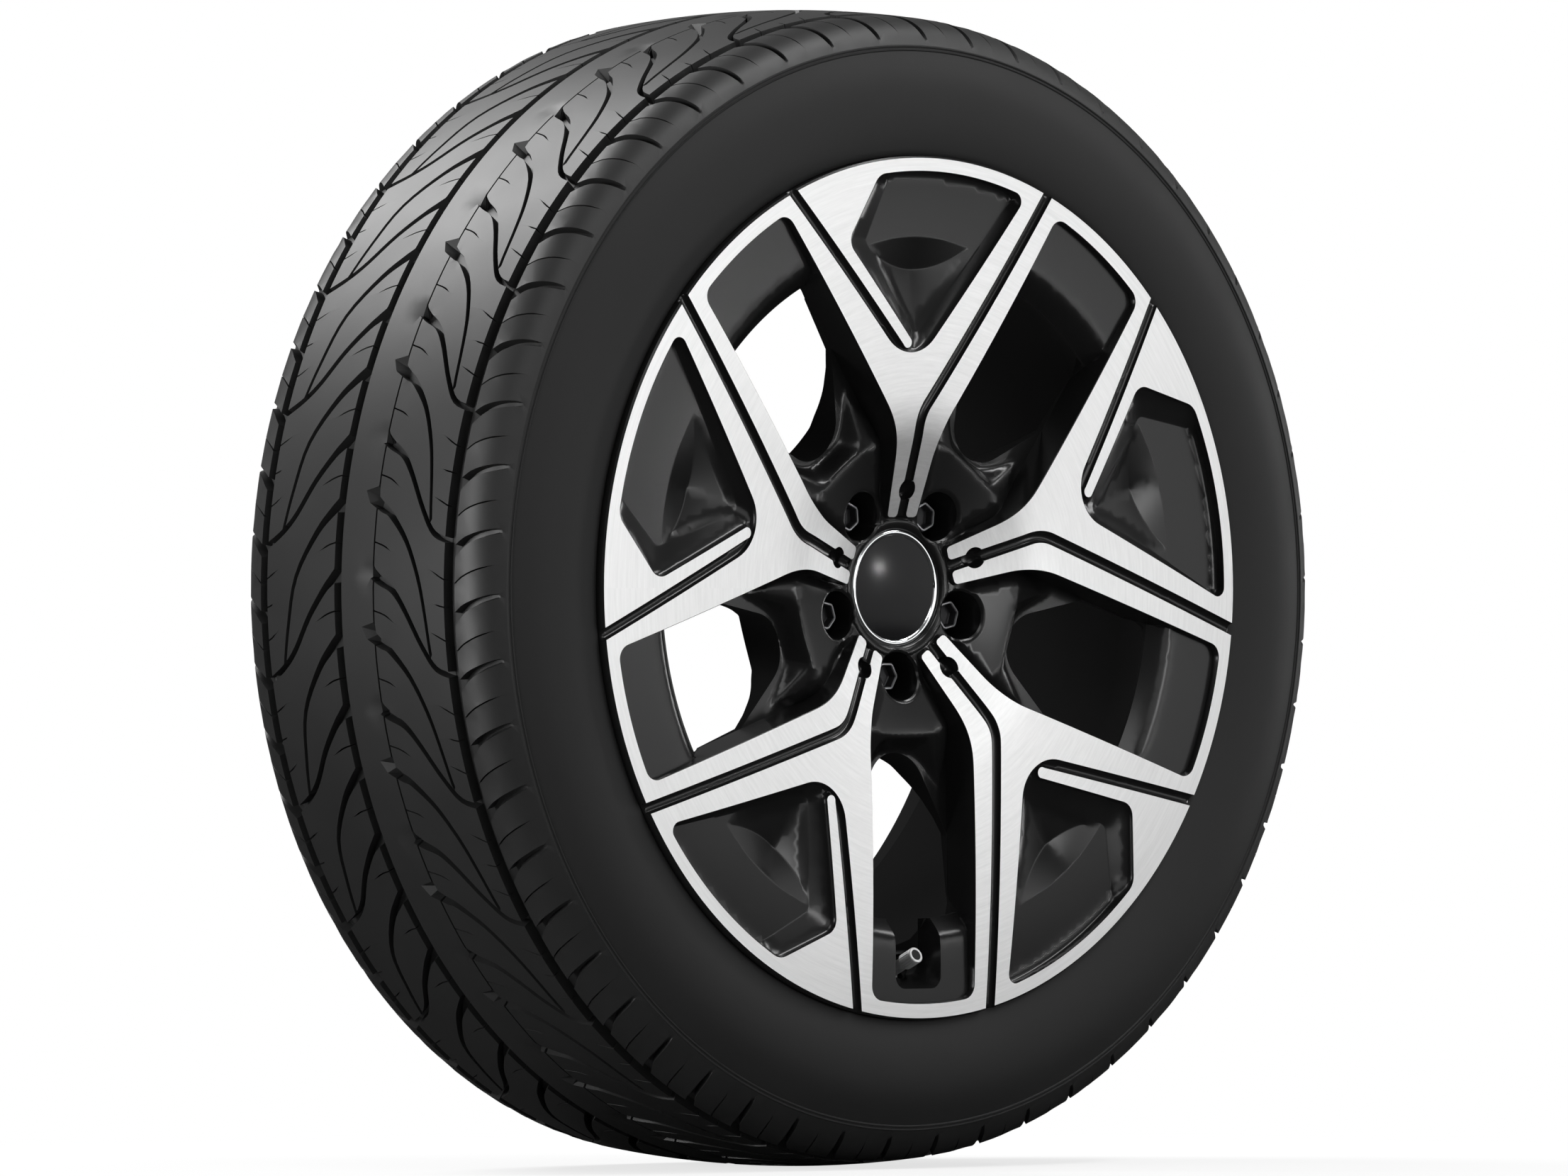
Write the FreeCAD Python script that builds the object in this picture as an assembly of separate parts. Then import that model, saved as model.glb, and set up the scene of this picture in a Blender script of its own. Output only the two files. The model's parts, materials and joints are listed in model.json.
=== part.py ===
import FreeCAD, Part
import math
import os
from FreeCAD import Vector

# A light-alloy car wheel with its tyre, bolts, centre cap and valve.
# The spin axis is Y, the outer face looks to -Y and +Z is up. Pieces are drawn
# about the wheel's middle plane, where "out" is the distance outboard of it and
# y = -out, and then moved so that the origin is the middle of the hub's pad.
# Sizes are millimetres and degrees.

# Rim
spoke_count = 5
seat_diameter = 512.8
rim_width = 228.6
flange_height = 17.5
flange_curve = 9.5
flange_tip = 2.7
lip_width = 15.4
edge_round = 1.2
seat_taper = 5.0
seat_fillet = 6.5
seat_length = 17.3
hump_height = 1.1
hump_length = 5.0
well_depth = 18.4
well_length = 40.0
barrel_drop = 9.4
barrel_wall = 4.8
slope_length = 20.0

# Face, with drops measured back from the plane of its outer edge
face_crown = 1.8
bend_radius = 125.0
dish_radius = 92.0
dish_drop = 5.4
dish_sag = 1.1
finger_radius = 44.0
finger_drop = 20.4

# Hub
wheel_offset = 48.0
pad_diameter = 156.0
bore_diameter = 66.6
pilot_length = 24.0
snap_room_diameter = 65.4
snap_neck_diameter = 63.2
snap_neck_length = 9.0
cap_bore_diameter = 75.0
cap_seat_drop = 31.5
hub_ring_drop = 23.5
valley_drop = 22.0
hub_lip_radius = 95.0
hub_lip_drop = 12.0
flank_radius = 114.0
flank_drop = 36.0
flank_foot = 5.0
relief_diameter = 26.0
relief_depth = 30.0

# Backs of the spokes
arm_back_drop = 26.0
arm_back_radius = 205.0
stem_back_drop = 33.0
stem_back_radius = 150.0
root_back_radius = 102.0
root_back_drop = 62.0
back_pocket_wall = 10.0
back_pocket_drop = 19.0
back_pocket_radius = 212.0
back_pocket_round = 8.0

# Windows between the spokes
stem_width = 24.6
stem_flare = 5.4
stem_bend = 70.0
window_width = 89.0
window_radius = 263.7
window_corner = 9.5
shelf_drop = 4.0
shelf_radius = 221.0
ledge_radius = 210.5
ledge_drop = 14.0
ledge_back_radius = 216.0
ledge_back_drop = 20.0
box_radius = 231.0

# Channels and pockets in the spokes: lines lean away from the spoke's axis by
# their lean and pass their offset from the wheel's centre
channel_depth = 4.5
stem_channel_width = 7.7
stem_channel_lean = 38.0
stem_channel_offset = 68.0
stem_channel_bend = 26.0
rim_channel_width = 7.4
rim_channel_lean = -43.1
rim_channel_offset = 89.0
pocket_radius = 264.5
pocket_lean = 41.8
pocket_near_offset = 98.8
pocket_far_offset = 96.7
pocket_cut_lean = 33.3
pocket_cut_offset = 175.3
pocket_apex_round = 27.0
pocket_near_round = 6.0
pocket_cut_round = 12.0
pocket_far_round = 10.0
finger_tip_reach = 124.5
hollow_top = 204.0
hollow_half_width = 33.0
hollow_apex = 166.0
hollow_drop = 14.0
hollow_taper = 0.62
hollow_round = 6.0
dimple_radius = 62.3
dimple_diameter = 13.4
dimple_depth = 8.0

# Bolts
bolt_circle = 112.0
bolt_diameter = 14.0
bolt_neck = 12.6
bolt_thread_start = 2.0
bolt_hole_diameter = 15.2
bolt_reach = 21.0
bolt_tip = 1.2
ball_radius = 14.0
ball_centre = 29.0
ball_collar = 24.0
ball_seat_diameter = 26.0
collar_height = 3.4
hex_width = 17.0
hex_height = 23.0
hex_round = 1.0
hex_recess_width = 13.6
hex_recess_depth = 6.5
lug_bore_diameter = 31.0
seat_gap = 0.05

# Centre cap
cap_diameter = 74.4
cap_flange = 2.6
cap_dome_height = 5.4
cap_dome_rise = 1.3
trim_width = 3.9
trim_proud = 0.9
skirt_diameter = 62.0
skirt_wall = 1.8
skirt_length = 15.0
skirt_slots = 6
slot_width = 9.0
hook_reach = 1.1
hook_length = 4.0
spring_wire = 1.6
cap_gap = 0.1

# Valve, measured along its own axis from the tyre side of the rim
valve_seat_radius = 248.5
valve_tilt = 24.8
valve_wall = 5.0
valve_hole_diameter = 11.4
valve_spot_diameter = 15.0
notch_width = 39.0
notch_radius = 254.0
notch_corner = 8.0
notch_drop = 23.0
notch_back_width = 32.0
notch_back_radius = 246.0
stem_diameter = 8.0
stem_length = 35.0
stem_bore = 5.2
stem_head_diameter = 14.0
stem_head_height = 6.0
thread_diameter = 7.6
thread_length = 9.0
seal_lip = 2.5
washer_height = 1.4
washer_diameter = 13.0
nut_height = 5.5
nut_width = 11.0
core_length = 17.0
core_bore = 2.6
core_top = 1.0
core_shoulder = 3.6
pin_diameter = 1.4
pin_head_diameter = 2.2
pin_collar_height = 0.8
core_spring_wire = 0.35
core_spring_turns = 5
core_spring_length = 6.0
gasket_height = 1.2
barrel_ring_height = 1.4
valve_cap_diameter = 10.6
valve_cap_length = 11.0
valve_cap_top = 2.0
valve_cap_flutes = 20
valve_cap_flute_depth = 0.35
cap_seal_height = 0.7
running_gap = 0.25

# Pressure sensor on the inner end of the valve
sensor_length = 46.0
sensor_width = 24.0
sensor_height = 20.0
sensor_corner = 5.0
sensor_ear = 4.0
sensor_shift = 4.0
screw_diameter = 3.5
screw_head_diameter = 6.5
screw_head_height = 2.2
screw_length = 8.0

# Tyre
tyre_diameter = 737.5
tyre_width = 255.0
bulge_radius = 315.0
crown_width = 192.0
crown_drop = 5.5
shoulder_radius = 344.5
shoulder_width = 236.4
shoulder_round = 2.6
ridge_height = 0.8
ridge_width = 1.1
skim_radius = 284.0
skim_width = 252.6
tread_thickness = 16.2
side_thickness = 8.0
bead_thickness = 17.0
groove_depth = 7.5
groove_taper = 0.6
slit_depth = 6.0
groove_width = 7.0
wide_groove_width = 9.1
inner_groove_out = -88.5
rib_groove_out = -13.2
slit_out = 20.2
slit_width = 1.3
outer_groove_out = 86.8

# Tread pattern, which repeats round the tyre: slanted claws run from the grooves
# beside the rib, and cross grooves from the outer grooves over the shoulders
tread_pitches = 27
tread_phase = 178.9
claw_depth = 6.8
claw_steps = 5
cross_groove_steps = 2
claw_mouth = 7.6
claw_width = 3.8
long_claw_sweep = 10.1
short_claw_sweep = 15.2
short_claw_reach = 49.0
short_claw_tip = 2.4
short_claw_lead = 6.5
short_claw_bend = 2.5
cross_groove_width = 5.0
cross_groove_tip = 4.0
cross_groove_sweep = 2.4
cross_groove_lead = 4.4
cross_groove_fade = 1.4

# Derived from the sizes above
half_width = rim_width / 2
seat_r = seat_diameter / 2
flange_r = seat_r + flange_height
face_r = flange_r - edge_round
face_out = half_width + lip_width
well_r = seat_r - well_depth
barrel_r = seat_r - barrel_drop
pad_out = wheel_offset
step = 360.0 / spoke_count
ball_out = pad_out + ball_centre
seat_end_out = half_width - seat_length
wall_top_out = seat_end_out - hump_length
axis_y = Vector(0, 1, 0)
middle = Vector(0, 0, 0)
clear_out = face_out + 20.0
tread_r = tyre_diameter / 2
half_crown = crown_width / 2
crown_curve = (half_crown ** 2 + crown_drop ** 2) / (2 * crown_drop)
half_shoulder = shoulder_width / 2
tread_pitch = 360.0 / tread_pitches
tight = 1e-5


def section_plane(r, out):
    return Vector(r, -out, 0)


def front_plane(x, z):
    return Vector(x, 0, z)


class Path:
    """A chain of lines and arcs drawn from point to point on one plane."""

    def __init__(self, plane, *start):
        self.plane = plane
        self.first = plane(*start)
        self.here = self.first
        self.edges = []

    def line(self, *points):
        for point in points:
            there = self.plane(*point)
            self.edges.append(Part.LineSegment(self.here, there).toShape())
            self.here = there
        return self

    def arc(self, through, to):
        there = self.plane(*to)
        self.edges.append(Part.Arc(self.here, self.plane(*through), there).toShape())
        self.here = there
        return self

    def corner(self, at, toward, radius):
        point = self.plane(*at)
        back = (self.here - point).normalize()
        ahead = (self.plane(*toward) - point).normalize()
        half = back.getAngle(ahead) / 2
        reach = radius / math.tan(half)
        start = point + back * reach
        middle_way = (back + ahead).normalize() * (radius / math.sin(half) - radius)
        end = point + ahead * reach
        self.edges.append(Part.LineSegment(self.here, start).toShape())
        self.edges.append(Part.Arc(start, point + middle_way, end).toShape())
        self.here = end
        return self

    def wire(self):
        if (self.first - self.here).Length > tight:
            self.edges.append(Part.LineSegment(self.here, self.first).toShape())
            self.here = self.first
        return Part.Wire(self.edges)

    def face(self):
        return Part.Face(self.wire())


def turned(path):
    return path.face().revolve(middle, axis_y, 360)


def prism(path, low, high):
    face = path.face()
    face.translate(Vector(0, -low, 0))
    return face.extrude(Vector(0, low - high, 0))


def spun(shape, angle):
    copy = shape.copy()
    copy.rotate(middle, axis_y, angle)
    return copy


def around(shape, start=0.0):
    return [spun(shape, start + step * k) for k in range(spoke_count)]


def lean_line(lean, offset):
    """Direction and foot of a line that leans from the spoke's axis."""
    a = math.radians(lean)
    way = (math.sin(a), math.cos(a))
    side = 1.0 if lean < 0 else -1.0
    normal = (side * math.cos(a), -side * math.sin(a))
    return way, (normal[0] * offset, normal[1] * offset)


def along(line, reach):
    way, foot = line
    return foot[0] + way[0] * reach, foot[1] + way[1] * reach


def meet(one, two):
    (ax, az), (px, pz) = one
    (bx, bz), (qx, qz) = two
    t = ((qx - px) * bz - (qz - pz) * bx) / (ax * bz - az * bx)
    return px + ax * t, pz + az * t


def reach_ring(line, ring):
    """Where a line leaves the circle of that radius."""
    way, foot = line
    return along(line, math.sqrt(ring ** 2 - foot[0] ** 2 - foot[1] ** 2))


def ring_corner(line, ring, radius, side):
    """Fillet between a line and a ring inside it: start, middle and end."""
    way, foot = line
    inward = (way[1] * side, -way[0] * side)
    shifted = (way, (foot[0] + inward[0] * radius, foot[1] + inward[1] * radius))
    fx, fz = shifted[1]
    reach = math.sqrt((ring - radius) ** 2 - fx ** 2 - fz ** 2)
    cx, cz = along(shifted, reach)
    on_line = (cx - inward[0] * radius, cz - inward[1] * radius)
    size = math.hypot(cx, cz)
    on_ring = (cx * ring / size, cz * ring / size)
    mx, mz = on_line[0] + on_ring[0] - 2 * cx, on_line[1] + on_ring[1] - 2 * cz
    size = math.hypot(mx, mz)
    return on_line, (cx + mx * radius / size, cz + mz * radius / size), on_ring


def on_ring(a, b, ring):
    """Point of the ring half-way between two of its points."""
    x, z = a[0] + b[0], a[1] + b[1]
    size = math.hypot(x, z)
    return x * ring / size, z * ring / size


def face_path(path, drop):
    """Draw the face from the fingers out to the rim, set back by drop."""
    out = face_out - drop
    path.line((finger_radius, out - finger_drop), (dish_radius, out - dish_drop))
    knee = ((dish_radius + bend_radius) / 2, out - dish_drop / 2 + dish_sag)
    path.arc(knee, (bend_radius, out))
    path.arc(((bend_radius + face_r) / 2, out + face_crown), (face_r, out))
    return path


def above_face(drop):
    """Everything in front of the face once it is set back by drop."""
    path = Path(section_plane, finger_radius - 8, clear_out)
    path.line((finger_radius - 8, face_out - drop - finger_drop - 3))
    face_path(path, drop)
    path.line((flange_r + 8, face_out - drop), (flange_r + 8, clear_out))
    return turned(path)


def flange_side(path, side, gap, outward):
    """Bead seat fillet, flange and flange curve on one side of the rim."""
    foot = seat_r - seat_fillet * math.tan(math.radians(seat_taper)) + gap
    shoulder = half_width - gap
    bend = 1 - math.sqrt(0.5)
    low = (foot, side * (half_width - seat_fillet))
    mid_low = (seat_r + gap + seat_fillet * bend, side * (shoulder - seat_fillet * bend))
    up = (seat_r + seat_fillet, side * shoulder)
    rise = (flange_r - flange_curve, side * shoulder)
    lean = flange_curve * math.sqrt(0.5)
    mid_top = (rise[0] + lean - gap * 0.7 + gap * 1.4,
               side * (half_width + flange_curve - lean - gap * 0.7))
    tip = (flange_r + gap, side * (half_width + flange_curve))
    if outward:
        return path.line(low).arc(mid_low, up).line(rise).arc(mid_top, tip)
    return path.line(tip).arc(mid_top, rise).line(up).arc(mid_low, low)


def wheel_blank():
    """The turned wheel before its windows, channels and holes are cut."""
    bore_r = bore_diameter / 2
    cap_r = cap_bore_diameter / 2
    seat_fall = math.tan(math.radians(seat_taper)) * seat_length
    wall_fall = math.tan(math.radians(valve_tilt)) * (seat_r - seat_fall - well_r)
    seat_end_r = seat_r - seat_fall
    hump_r = seat_end_r + hump_height
    hump_out = seat_end_out - hump_length / 2
    well_front = wall_top_out - wall_fall
    well_back = well_front - well_length
    rise_back = well_back - slope_length
    room_r = snap_room_diameter / 2
    neck_r = snap_neck_diameter / 2
    cap_seat = face_out - cap_seat_drop
    neck_out = cap_seat - snap_neck_length
    path = Path(section_plane, bore_r, pad_out)
    path.line((bore_r, pad_out + pilot_length), (room_r, pad_out + pilot_length))
    path.line((room_r, neck_out - room_r + neck_r), (neck_r, neck_out), (neck_r, cap_seat))
    path.line((cap_r, cap_seat))
    path.line((cap_r, face_out - hub_ring_drop), (finger_radius, face_out - valley_drop))
    face_path(path, 0)
    path.line((flange_r, face_out - edge_round))
    flange_side(path, 1, 0, False)
    path.line((seat_end_r, seat_end_out))
    path.arc((hump_r, hump_out), (seat_end_r, wall_top_out))
    path.line((well_r, well_front), (well_r, well_back))
    path.line((barrel_r, rise_back), (barrel_r, -wall_top_out + hump_length))
    path.line((seat_end_r, -wall_top_out))
    path.arc((hump_r, -hump_out), (seat_end_r, -seat_end_out))
    flange_side(path, -1, 0, True)
    lip_out = -half_width - flange_curve - flange_tip
    inner_r = barrel_r - barrel_wall
    path.line((flange_r, lip_out), (flange_r - barrel_wall, lip_out - edge_round))
    path.line((seat_r + edge_round, -half_width - barrel_wall))
    path.line((seat_end_r - barrel_wall, -seat_end_out))
    path.line((inner_r, -wall_top_out + hump_length))
    path.line((inner_r, rise_back - barrel_wall / 2))
    path.line((well_r - barrel_wall, well_back - barrel_wall / 2))
    path.line((well_r - barrel_wall, face_out - root_back_drop))
    back_out = face_out - arm_back_drop
    bend_r = (well_r - barrel_wall + arm_back_radius) / 2
    path.arc((bend_r + barrel_wall, back_out - barrel_wall), (arm_back_radius, back_out))
    path.line((stem_back_radius, face_out - stem_back_drop))
    knee = ((stem_back_radius + root_back_radius) / 2,
            face_out - (stem_back_drop * 2 + root_back_drop) / 3)
    path.arc(knee, (root_back_radius, face_out - root_back_drop))
    path.line((pad_diameter / 2, pad_out))
    return turned(path)


def window_cut():
    """One window with its shelf, its opening and the hub's valley."""
    half = window_width / 2
    turn = math.radians(step / 2)
    x, z = stem_width / 2, finger_radius
    foot = (x * math.cos(turn) - z * math.sin(turn), x * math.sin(turn) + z * math.cos(turn))
    lean = math.radians(step / 2 - stem_flare)
    rise = (half + foot[0]) / math.sin(lean) * math.cos(lean)
    knee = (-half, foot[1] + rise)
    edge = ((0.0, 1.0), (-half, 0.0))
    start, bow, end = ring_corner(edge, window_radius, window_corner, 1)
    path = Path(front_plane, *foot)
    path.corner(knee, start, stem_bend).line(start).arc(bow, end)
    path.arc((0, window_radius), (-end[0], end[1]))
    path.arc((-bow[0], bow[1]), (-start[0], start[1]))
    path.corner((half, knee[1]), (-foot[0], foot[1]), stem_bend).line((-foot[0], foot[1]))
    outline = prism(path, -half_width, clear_out)
    inside = finger_radius - 1
    inner_fall = (valley_drop - hub_lip_drop) / (hub_lip_radius - finger_radius)
    well = Path(section_plane, inside, clear_out)
    well.line((inside, face_out - valley_drop - inner_fall))
    well.line((hub_lip_radius, face_out - hub_lip_drop))
    well.line((flank_radius, face_out - flank_drop))
    well.line((flank_radius + flank_foot, face_out - root_back_drop), (flank_radius + flank_foot, 0))
    well.line((box_radius, 0), (box_radius, face_out - root_back_drop))
    well.line((ledge_back_radius, face_out - ledge_back_drop))
    well.line((ledge_radius, face_out - ledge_drop))
    well.line((shelf_radius, face_out - shelf_drop))
    well.line((window_radius + 1, face_out - shelf_drop), (window_radius + 1, clear_out))
    return outline.common(turned(well))


def spoke_recess():
    """The rim channel and the pocket beside it, which run into each other."""
    half = rim_channel_width / 2
    beyond = flange_r + 6
    lower = lean_line(rim_channel_lean, rim_channel_offset - half)
    upper = lean_line(rim_channel_lean, rim_channel_offset + half)
    near = lean_line(pocket_lean, pocket_near_offset)
    far = lean_line(-pocket_lean, pocket_far_offset)
    cut = lean_line(pocket_cut_lean, pocket_cut_offset)
    near_start, near_bow, near_end = ring_corner(near, pocket_radius, pocket_near_round, -1)
    cut_start, cut_bow, cut_end = ring_corner(cut, pocket_radius, pocket_cut_round, 1)
    tip_far = along(far, finger_tip_reach)
    tip_channel = along(upper, finger_tip_reach)
    tip_width = math.hypot(tip_far[0] - tip_channel[0], tip_far[1] - tip_channel[1])
    way = upper[0]
    tip = ((tip_far[0] + tip_channel[0] - way[0] * tip_width) / 2,
           (tip_far[1] + tip_channel[1] - way[1] * tip_width) / 2)
    path = Path(front_plane, *reach_ring(lower, beyond))
    path.corner(meet(lower, near), near_start, pocket_apex_round)
    path.line(near_start).arc(near_bow, near_end)
    path.arc(on_ring(near_end, cut_end, pocket_radius), cut_end).arc(cut_bow, cut_start)
    path.corner(meet(cut, far), tip_far, pocket_far_round).line(tip_far)
    path.arc(tip, tip_channel).line(reach_ring(upper, beyond))
    return prism(path, half_width, clear_out).common(above_face(channel_depth))


def spoke_hollow():
    """The deeper, tapering hollow near the pocket's apex."""
    wires = []
    centre = (hollow_top * 2 + hollow_apex) / 3
    for scale, drop in ((1.0, channel_depth - face_crown - 0.5), (hollow_taper, hollow_drop)):
        half = hollow_half_width * scale
        top = centre + (hollow_top - centre) * scale
        low = centre + (hollow_apex - centre) * scale
        path = Path(front_plane, 0, top)
        path.corner((half, top), (0, low), hollow_round * scale)
        path.corner((0, low), (-half, top), hollow_round * scale)
        path.corner((-half, top), (0, top), hollow_round * scale)
        wire = path.wire()
        wire.translate(Vector(0, drop - face_out, 0))
        wires.append(wire)
    return Part.makeLoft(wires, True)


def stem_channel():
    """The channel up the stem and along one arm, with its round dimple."""
    half = stem_channel_width / 2
    beyond = flange_r + 6
    upper = lean_line(stem_channel_lean, stem_channel_offset + half)
    lower = lean_line(stem_channel_lean, stem_channel_offset - half)
    left = ((0.0, 1.0), (-half, 0.0))
    right = ((0.0, 1.0), (half, 0.0))
    upper_end = reach_ring(upper, beyond)
    start = finger_radius - 4
    path = Path(front_plane, -half, start)
    path.corner(meet(left, upper), upper_end, stem_channel_bend + half).line(upper_end)
    path.line(reach_ring(lower, beyond))
    path.corner(meet(right, lower), (half, start), stem_channel_bend - half).line((half, start))
    channel = prism(path, half_width / 2, clear_out).common(above_face(channel_depth))
    dimple = Part.makeCylinder(dimple_diameter / 2, clear_out, Vector(0, 0, dimple_radius), -axis_y)
    return channel, dimple.common(above_face(dimple_depth))


def back_pocket():
    """The hollow behind one spoke, which leaves a wall along each side."""
    offset = window_width / 2 + back_pocket_wall
    left = lean_line(-step / 2, offset)
    right = lean_line(step / 2, offset)
    start, bow, end = ring_corner(right, back_pocket_radius, back_pocket_round, -1)
    path = Path(front_plane, -start[0], start[1])
    path.corner(meet(left, right), start, back_pocket_round).line(start).arc(bow, end)
    path.arc((0, back_pocket_radius), (-end[0], end[1]))
    path.arc((-bow[0], bow[1]), (-start[0], start[1]))
    return prism(path, 0, face_out - back_pocket_drop)


def lug_cut():
    """Bolt hole, ball seat and the wide bore in front of it."""
    hole_r = bolt_hole_diameter / 2
    seat_top = ball_seat_diameter / 2
    lug_r = lug_bore_diameter / 2
    middle_r = (hole_r + seat_top) / 2
    deep = [ball_out - math.sqrt(ball_radius ** 2 - r * r) for r in (hole_r, middle_r, seat_top)]
    path = Path(section_plane, 0, 0)
    path.line((hole_r, 0), (hole_r, deep[0])).arc((middle_r, deep[1]), (seat_top, deep[2]))
    path.line((lug_r, deep[2]), (lug_r, clear_out), (0, clear_out))
    cut = turned(path)
    cut.translate(Vector(0, 0, bolt_circle / 2))
    return cut


def valve_place(shape):
    """Move a piece from the valve's own axis to its hole in the rim."""
    a = math.radians(valve_tilt)
    up = Vector(0, -math.cos(a), math.sin(a))
    across = Vector(1, 0, 0)
    fall = (seat_r - math.tan(math.radians(seat_taper)) * seat_length - valve_seat_radius)
    seat = Vector(0, math.tan(a) * fall - wall_top_out, -valve_seat_radius)
    turn = FreeCAD.Rotation(across, up.cross(across), up, "ZXY")
    copy = shape.copy()
    copy.Placement = FreeCAD.Placement(seat, turn).multiply(copy.Placement)
    return copy


def bar(radius, low, high):
    """A round bar along the valve's axis."""
    return Part.makeCylinder(radius, high - low, Vector(0, 0, low))


def hexagon(width, low, high):
    """A hexagonal bar along the valve's axis, measured across its flats."""
    reach = width / math.sqrt(3)
    points = [Vector(reach * math.cos(math.radians(60 * k)), reach * math.sin(math.radians(60 * k)), low)
              for k in range(7)]
    return Part.Face(Part.makePolygon(points)).extrude(Vector(0, 0, high - low))


def valve_cuts():
    """The drafted notch in the shelf, the spot face and the valve's hole."""
    open_end = ledge_radius - shelf_drop
    wires = []
    for width, radius, out in ((notch_width, notch_radius, face_out - shelf_drop + seat_gap),
                               (notch_back_width, notch_back_radius, face_out - notch_drop)):
        half = width / 2
        path = Path(front_plane, -half, -open_end)
        path.corner((-half, -radius), (half, -radius), notch_corner)
        path.corner((half, -radius), (half, -open_end), notch_corner).line((half, -open_end))
        wire = path.wire()
        wire.translate(Vector(0, -out, 0))
        wires.append(wire)
    spot = valve_place(bar(valve_spot_diameter / 2, valve_wall, stem_length + valve_cap_length))
    hole = valve_place(bar(valve_hole_diameter / 2, -stem_head_height, stem_length))
    return [Part.makeLoft(wires, True), spot, hole]


def alloy_wheel():
    channel, dimple = stem_channel()
    relief = Part.makeCylinder(relief_diameter / 2, relief_depth,
                               Vector(0, -pad_out, bolt_circle / 2), -axis_y)
    cuts = around(window_cut(), step / 2) + around(spoke_recess()) + around(channel)
    cuts += around(spoke_hollow()) + around(dimple) + around(lug_cut(), step / 2)
    cuts += around(relief) + around(back_pocket()) + valve_cuts()
    return wheel_blank().cut(cuts)


def wheel_bolts():
    thread_r = bolt_diameter / 2
    neck_r = bolt_neck / 2
    collar_r = ball_collar / 2
    ball = ball_radius - seat_gap
    middle_r = (neck_r + collar_r) / 2
    ball_at = [ball_out - math.sqrt(ball ** 2 - r * r) for r in (neck_r, middle_r, collar_r)]
    head_out = ball_at[2] + collar_height
    tip_out = pad_out - bolt_reach
    neck_out = pad_out - bolt_thread_start
    path = Path(section_plane, 0, tip_out)
    path.line((thread_r - bolt_tip, tip_out), (thread_r, tip_out + bolt_tip), (thread_r, neck_out))
    path.line((neck_r, neck_out + thread_r - neck_r), (neck_r, ball_at[0]))
    path.arc((middle_r, ball_at[1]), (collar_r, ball_at[2]))
    path.line((collar_r, head_out - hex_round), (collar_r - hex_round, head_out), (0, head_out))
    body = turned(path)
    head = hexagon(hex_width, head_out - hex_round, head_out + hex_height)
    recess = hexagon(hex_recess_width, head_out + hex_height - hex_recess_depth, head_out + hex_height + 1)
    head = head.cut(recess)
    head.rotate(middle, Vector(1, 0, 0), 90)
    bolt = body.fuse(head).removeSplitter()
    bolt.translate(Vector(0, 0, bolt_circle / 2))
    return Part.makeCompound(around(bolt, step / 2))


def cap_pieces():
    """The cap's shell, its bright ring and the wire that spreads its hooks."""
    seat_out = face_out - cap_seat_drop
    low = seat_out + cap_gap
    cap_r = cap_diameter / 2
    trim_r = cap_r - trim_width
    skirt_r = skirt_diameter / 2
    inner_r = skirt_r - skirt_wall
    ring_low = low + cap_flange
    rim_out = low + cap_dome_height
    foot = low - skirt_length
    hook_r = skirt_r + hook_reach
    path = Path(section_plane, 0, low + cap_flange / 2)
    path.line((inner_r, low + cap_flange / 2), (inner_r, foot), (skirt_r, foot))
    path.line((hook_r, foot + hook_length / 2), (skirt_r, foot + hook_length), (skirt_r, low))
    path.line((cap_r, low), (cap_r, ring_low), (trim_r - cap_gap, ring_low))
    path.line((trim_r - cap_gap, rim_out), (0, rim_out))
    shell = turned(path)
    dome_r = trim_r - cap_gap
    ball = (dome_r ** 2 + cap_dome_rise ** 2) / (2 * cap_dome_rise)
    dome = Part.makeSphere(ball, Vector(0, ball - rim_out - cap_dome_rise, 0))
    crown = Part.makeCylinder(dome_r, cap_dome_rise + 1, Vector(0, -rim_out, 0), -axis_y)
    shell = shell.fuse(crown.common(dome)).removeSplitter()
    slots = []
    for k in range(skirt_slots):
        slot = Part.makeBox(slot_width, skirt_length, skirt_r + 4,
                            Vector(-slot_width / 2, -low + cap_flange, 0))
        slots.append(spun(slot, 360.0 / skirt_slots * k))
    shell = shell.cut(slots)
    trim_out = rim_out + trim_proud
    middle_r = (cap_r + trim_r) / 2
    ring = Path(section_plane, cap_r, ring_low)
    ring.line((cap_r, rim_out)).arc((middle_r, trim_out), (trim_r, rim_out)).line((trim_r, ring_low))
    wire_r = spring_wire / 2
    spring = Part.makeTorus(inner_r - wire_r - cap_gap, wire_r,
                            Vector(0, -foot - hook_length / 2, 0), axis_y)
    return shell, turned(ring), spring


def valve_stem():
    head = bar(stem_head_diameter / 2, -seal_lip - stem_head_height, -seal_lip)
    thread_low = stem_length - thread_length
    shaft = bar(stem_diameter / 2, -seal_lip, thread_low)
    end = bar(thread_diameter / 2, thread_low, stem_length)
    bore = bar(stem_bore / 2, -seal_lip - stem_head_height + screw_length, stem_length)
    tap = bar(screw_diameter / 2, -seal_lip - stem_head_height, -seal_lip - stem_head_height + screw_length)
    return head.fuse([shaft, end]).removeSplitter().cut([bore, tap])


def valve_seals():
    """Rubber sleeve in the rim's hole, then the washer and nut outside it."""
    hole = bar(stem_diameter / 2 + cap_gap, -seal_lip, valve_wall + washer_height + nut_height)
    sleeve = bar(stem_head_diameter / 2, -seal_lip, 0)
    sleeve = sleeve.fuse(bar(valve_hole_diameter / 2 - cap_gap, 0, valve_wall)).removeSplitter()
    top = valve_wall + washer_height
    washer = bar(washer_diameter / 2, valve_wall, top)
    nut = hexagon(nut_width, top, top + nut_height)
    return sleeve.cut(hole), washer.cut(hole), nut.cut(hole)


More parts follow.
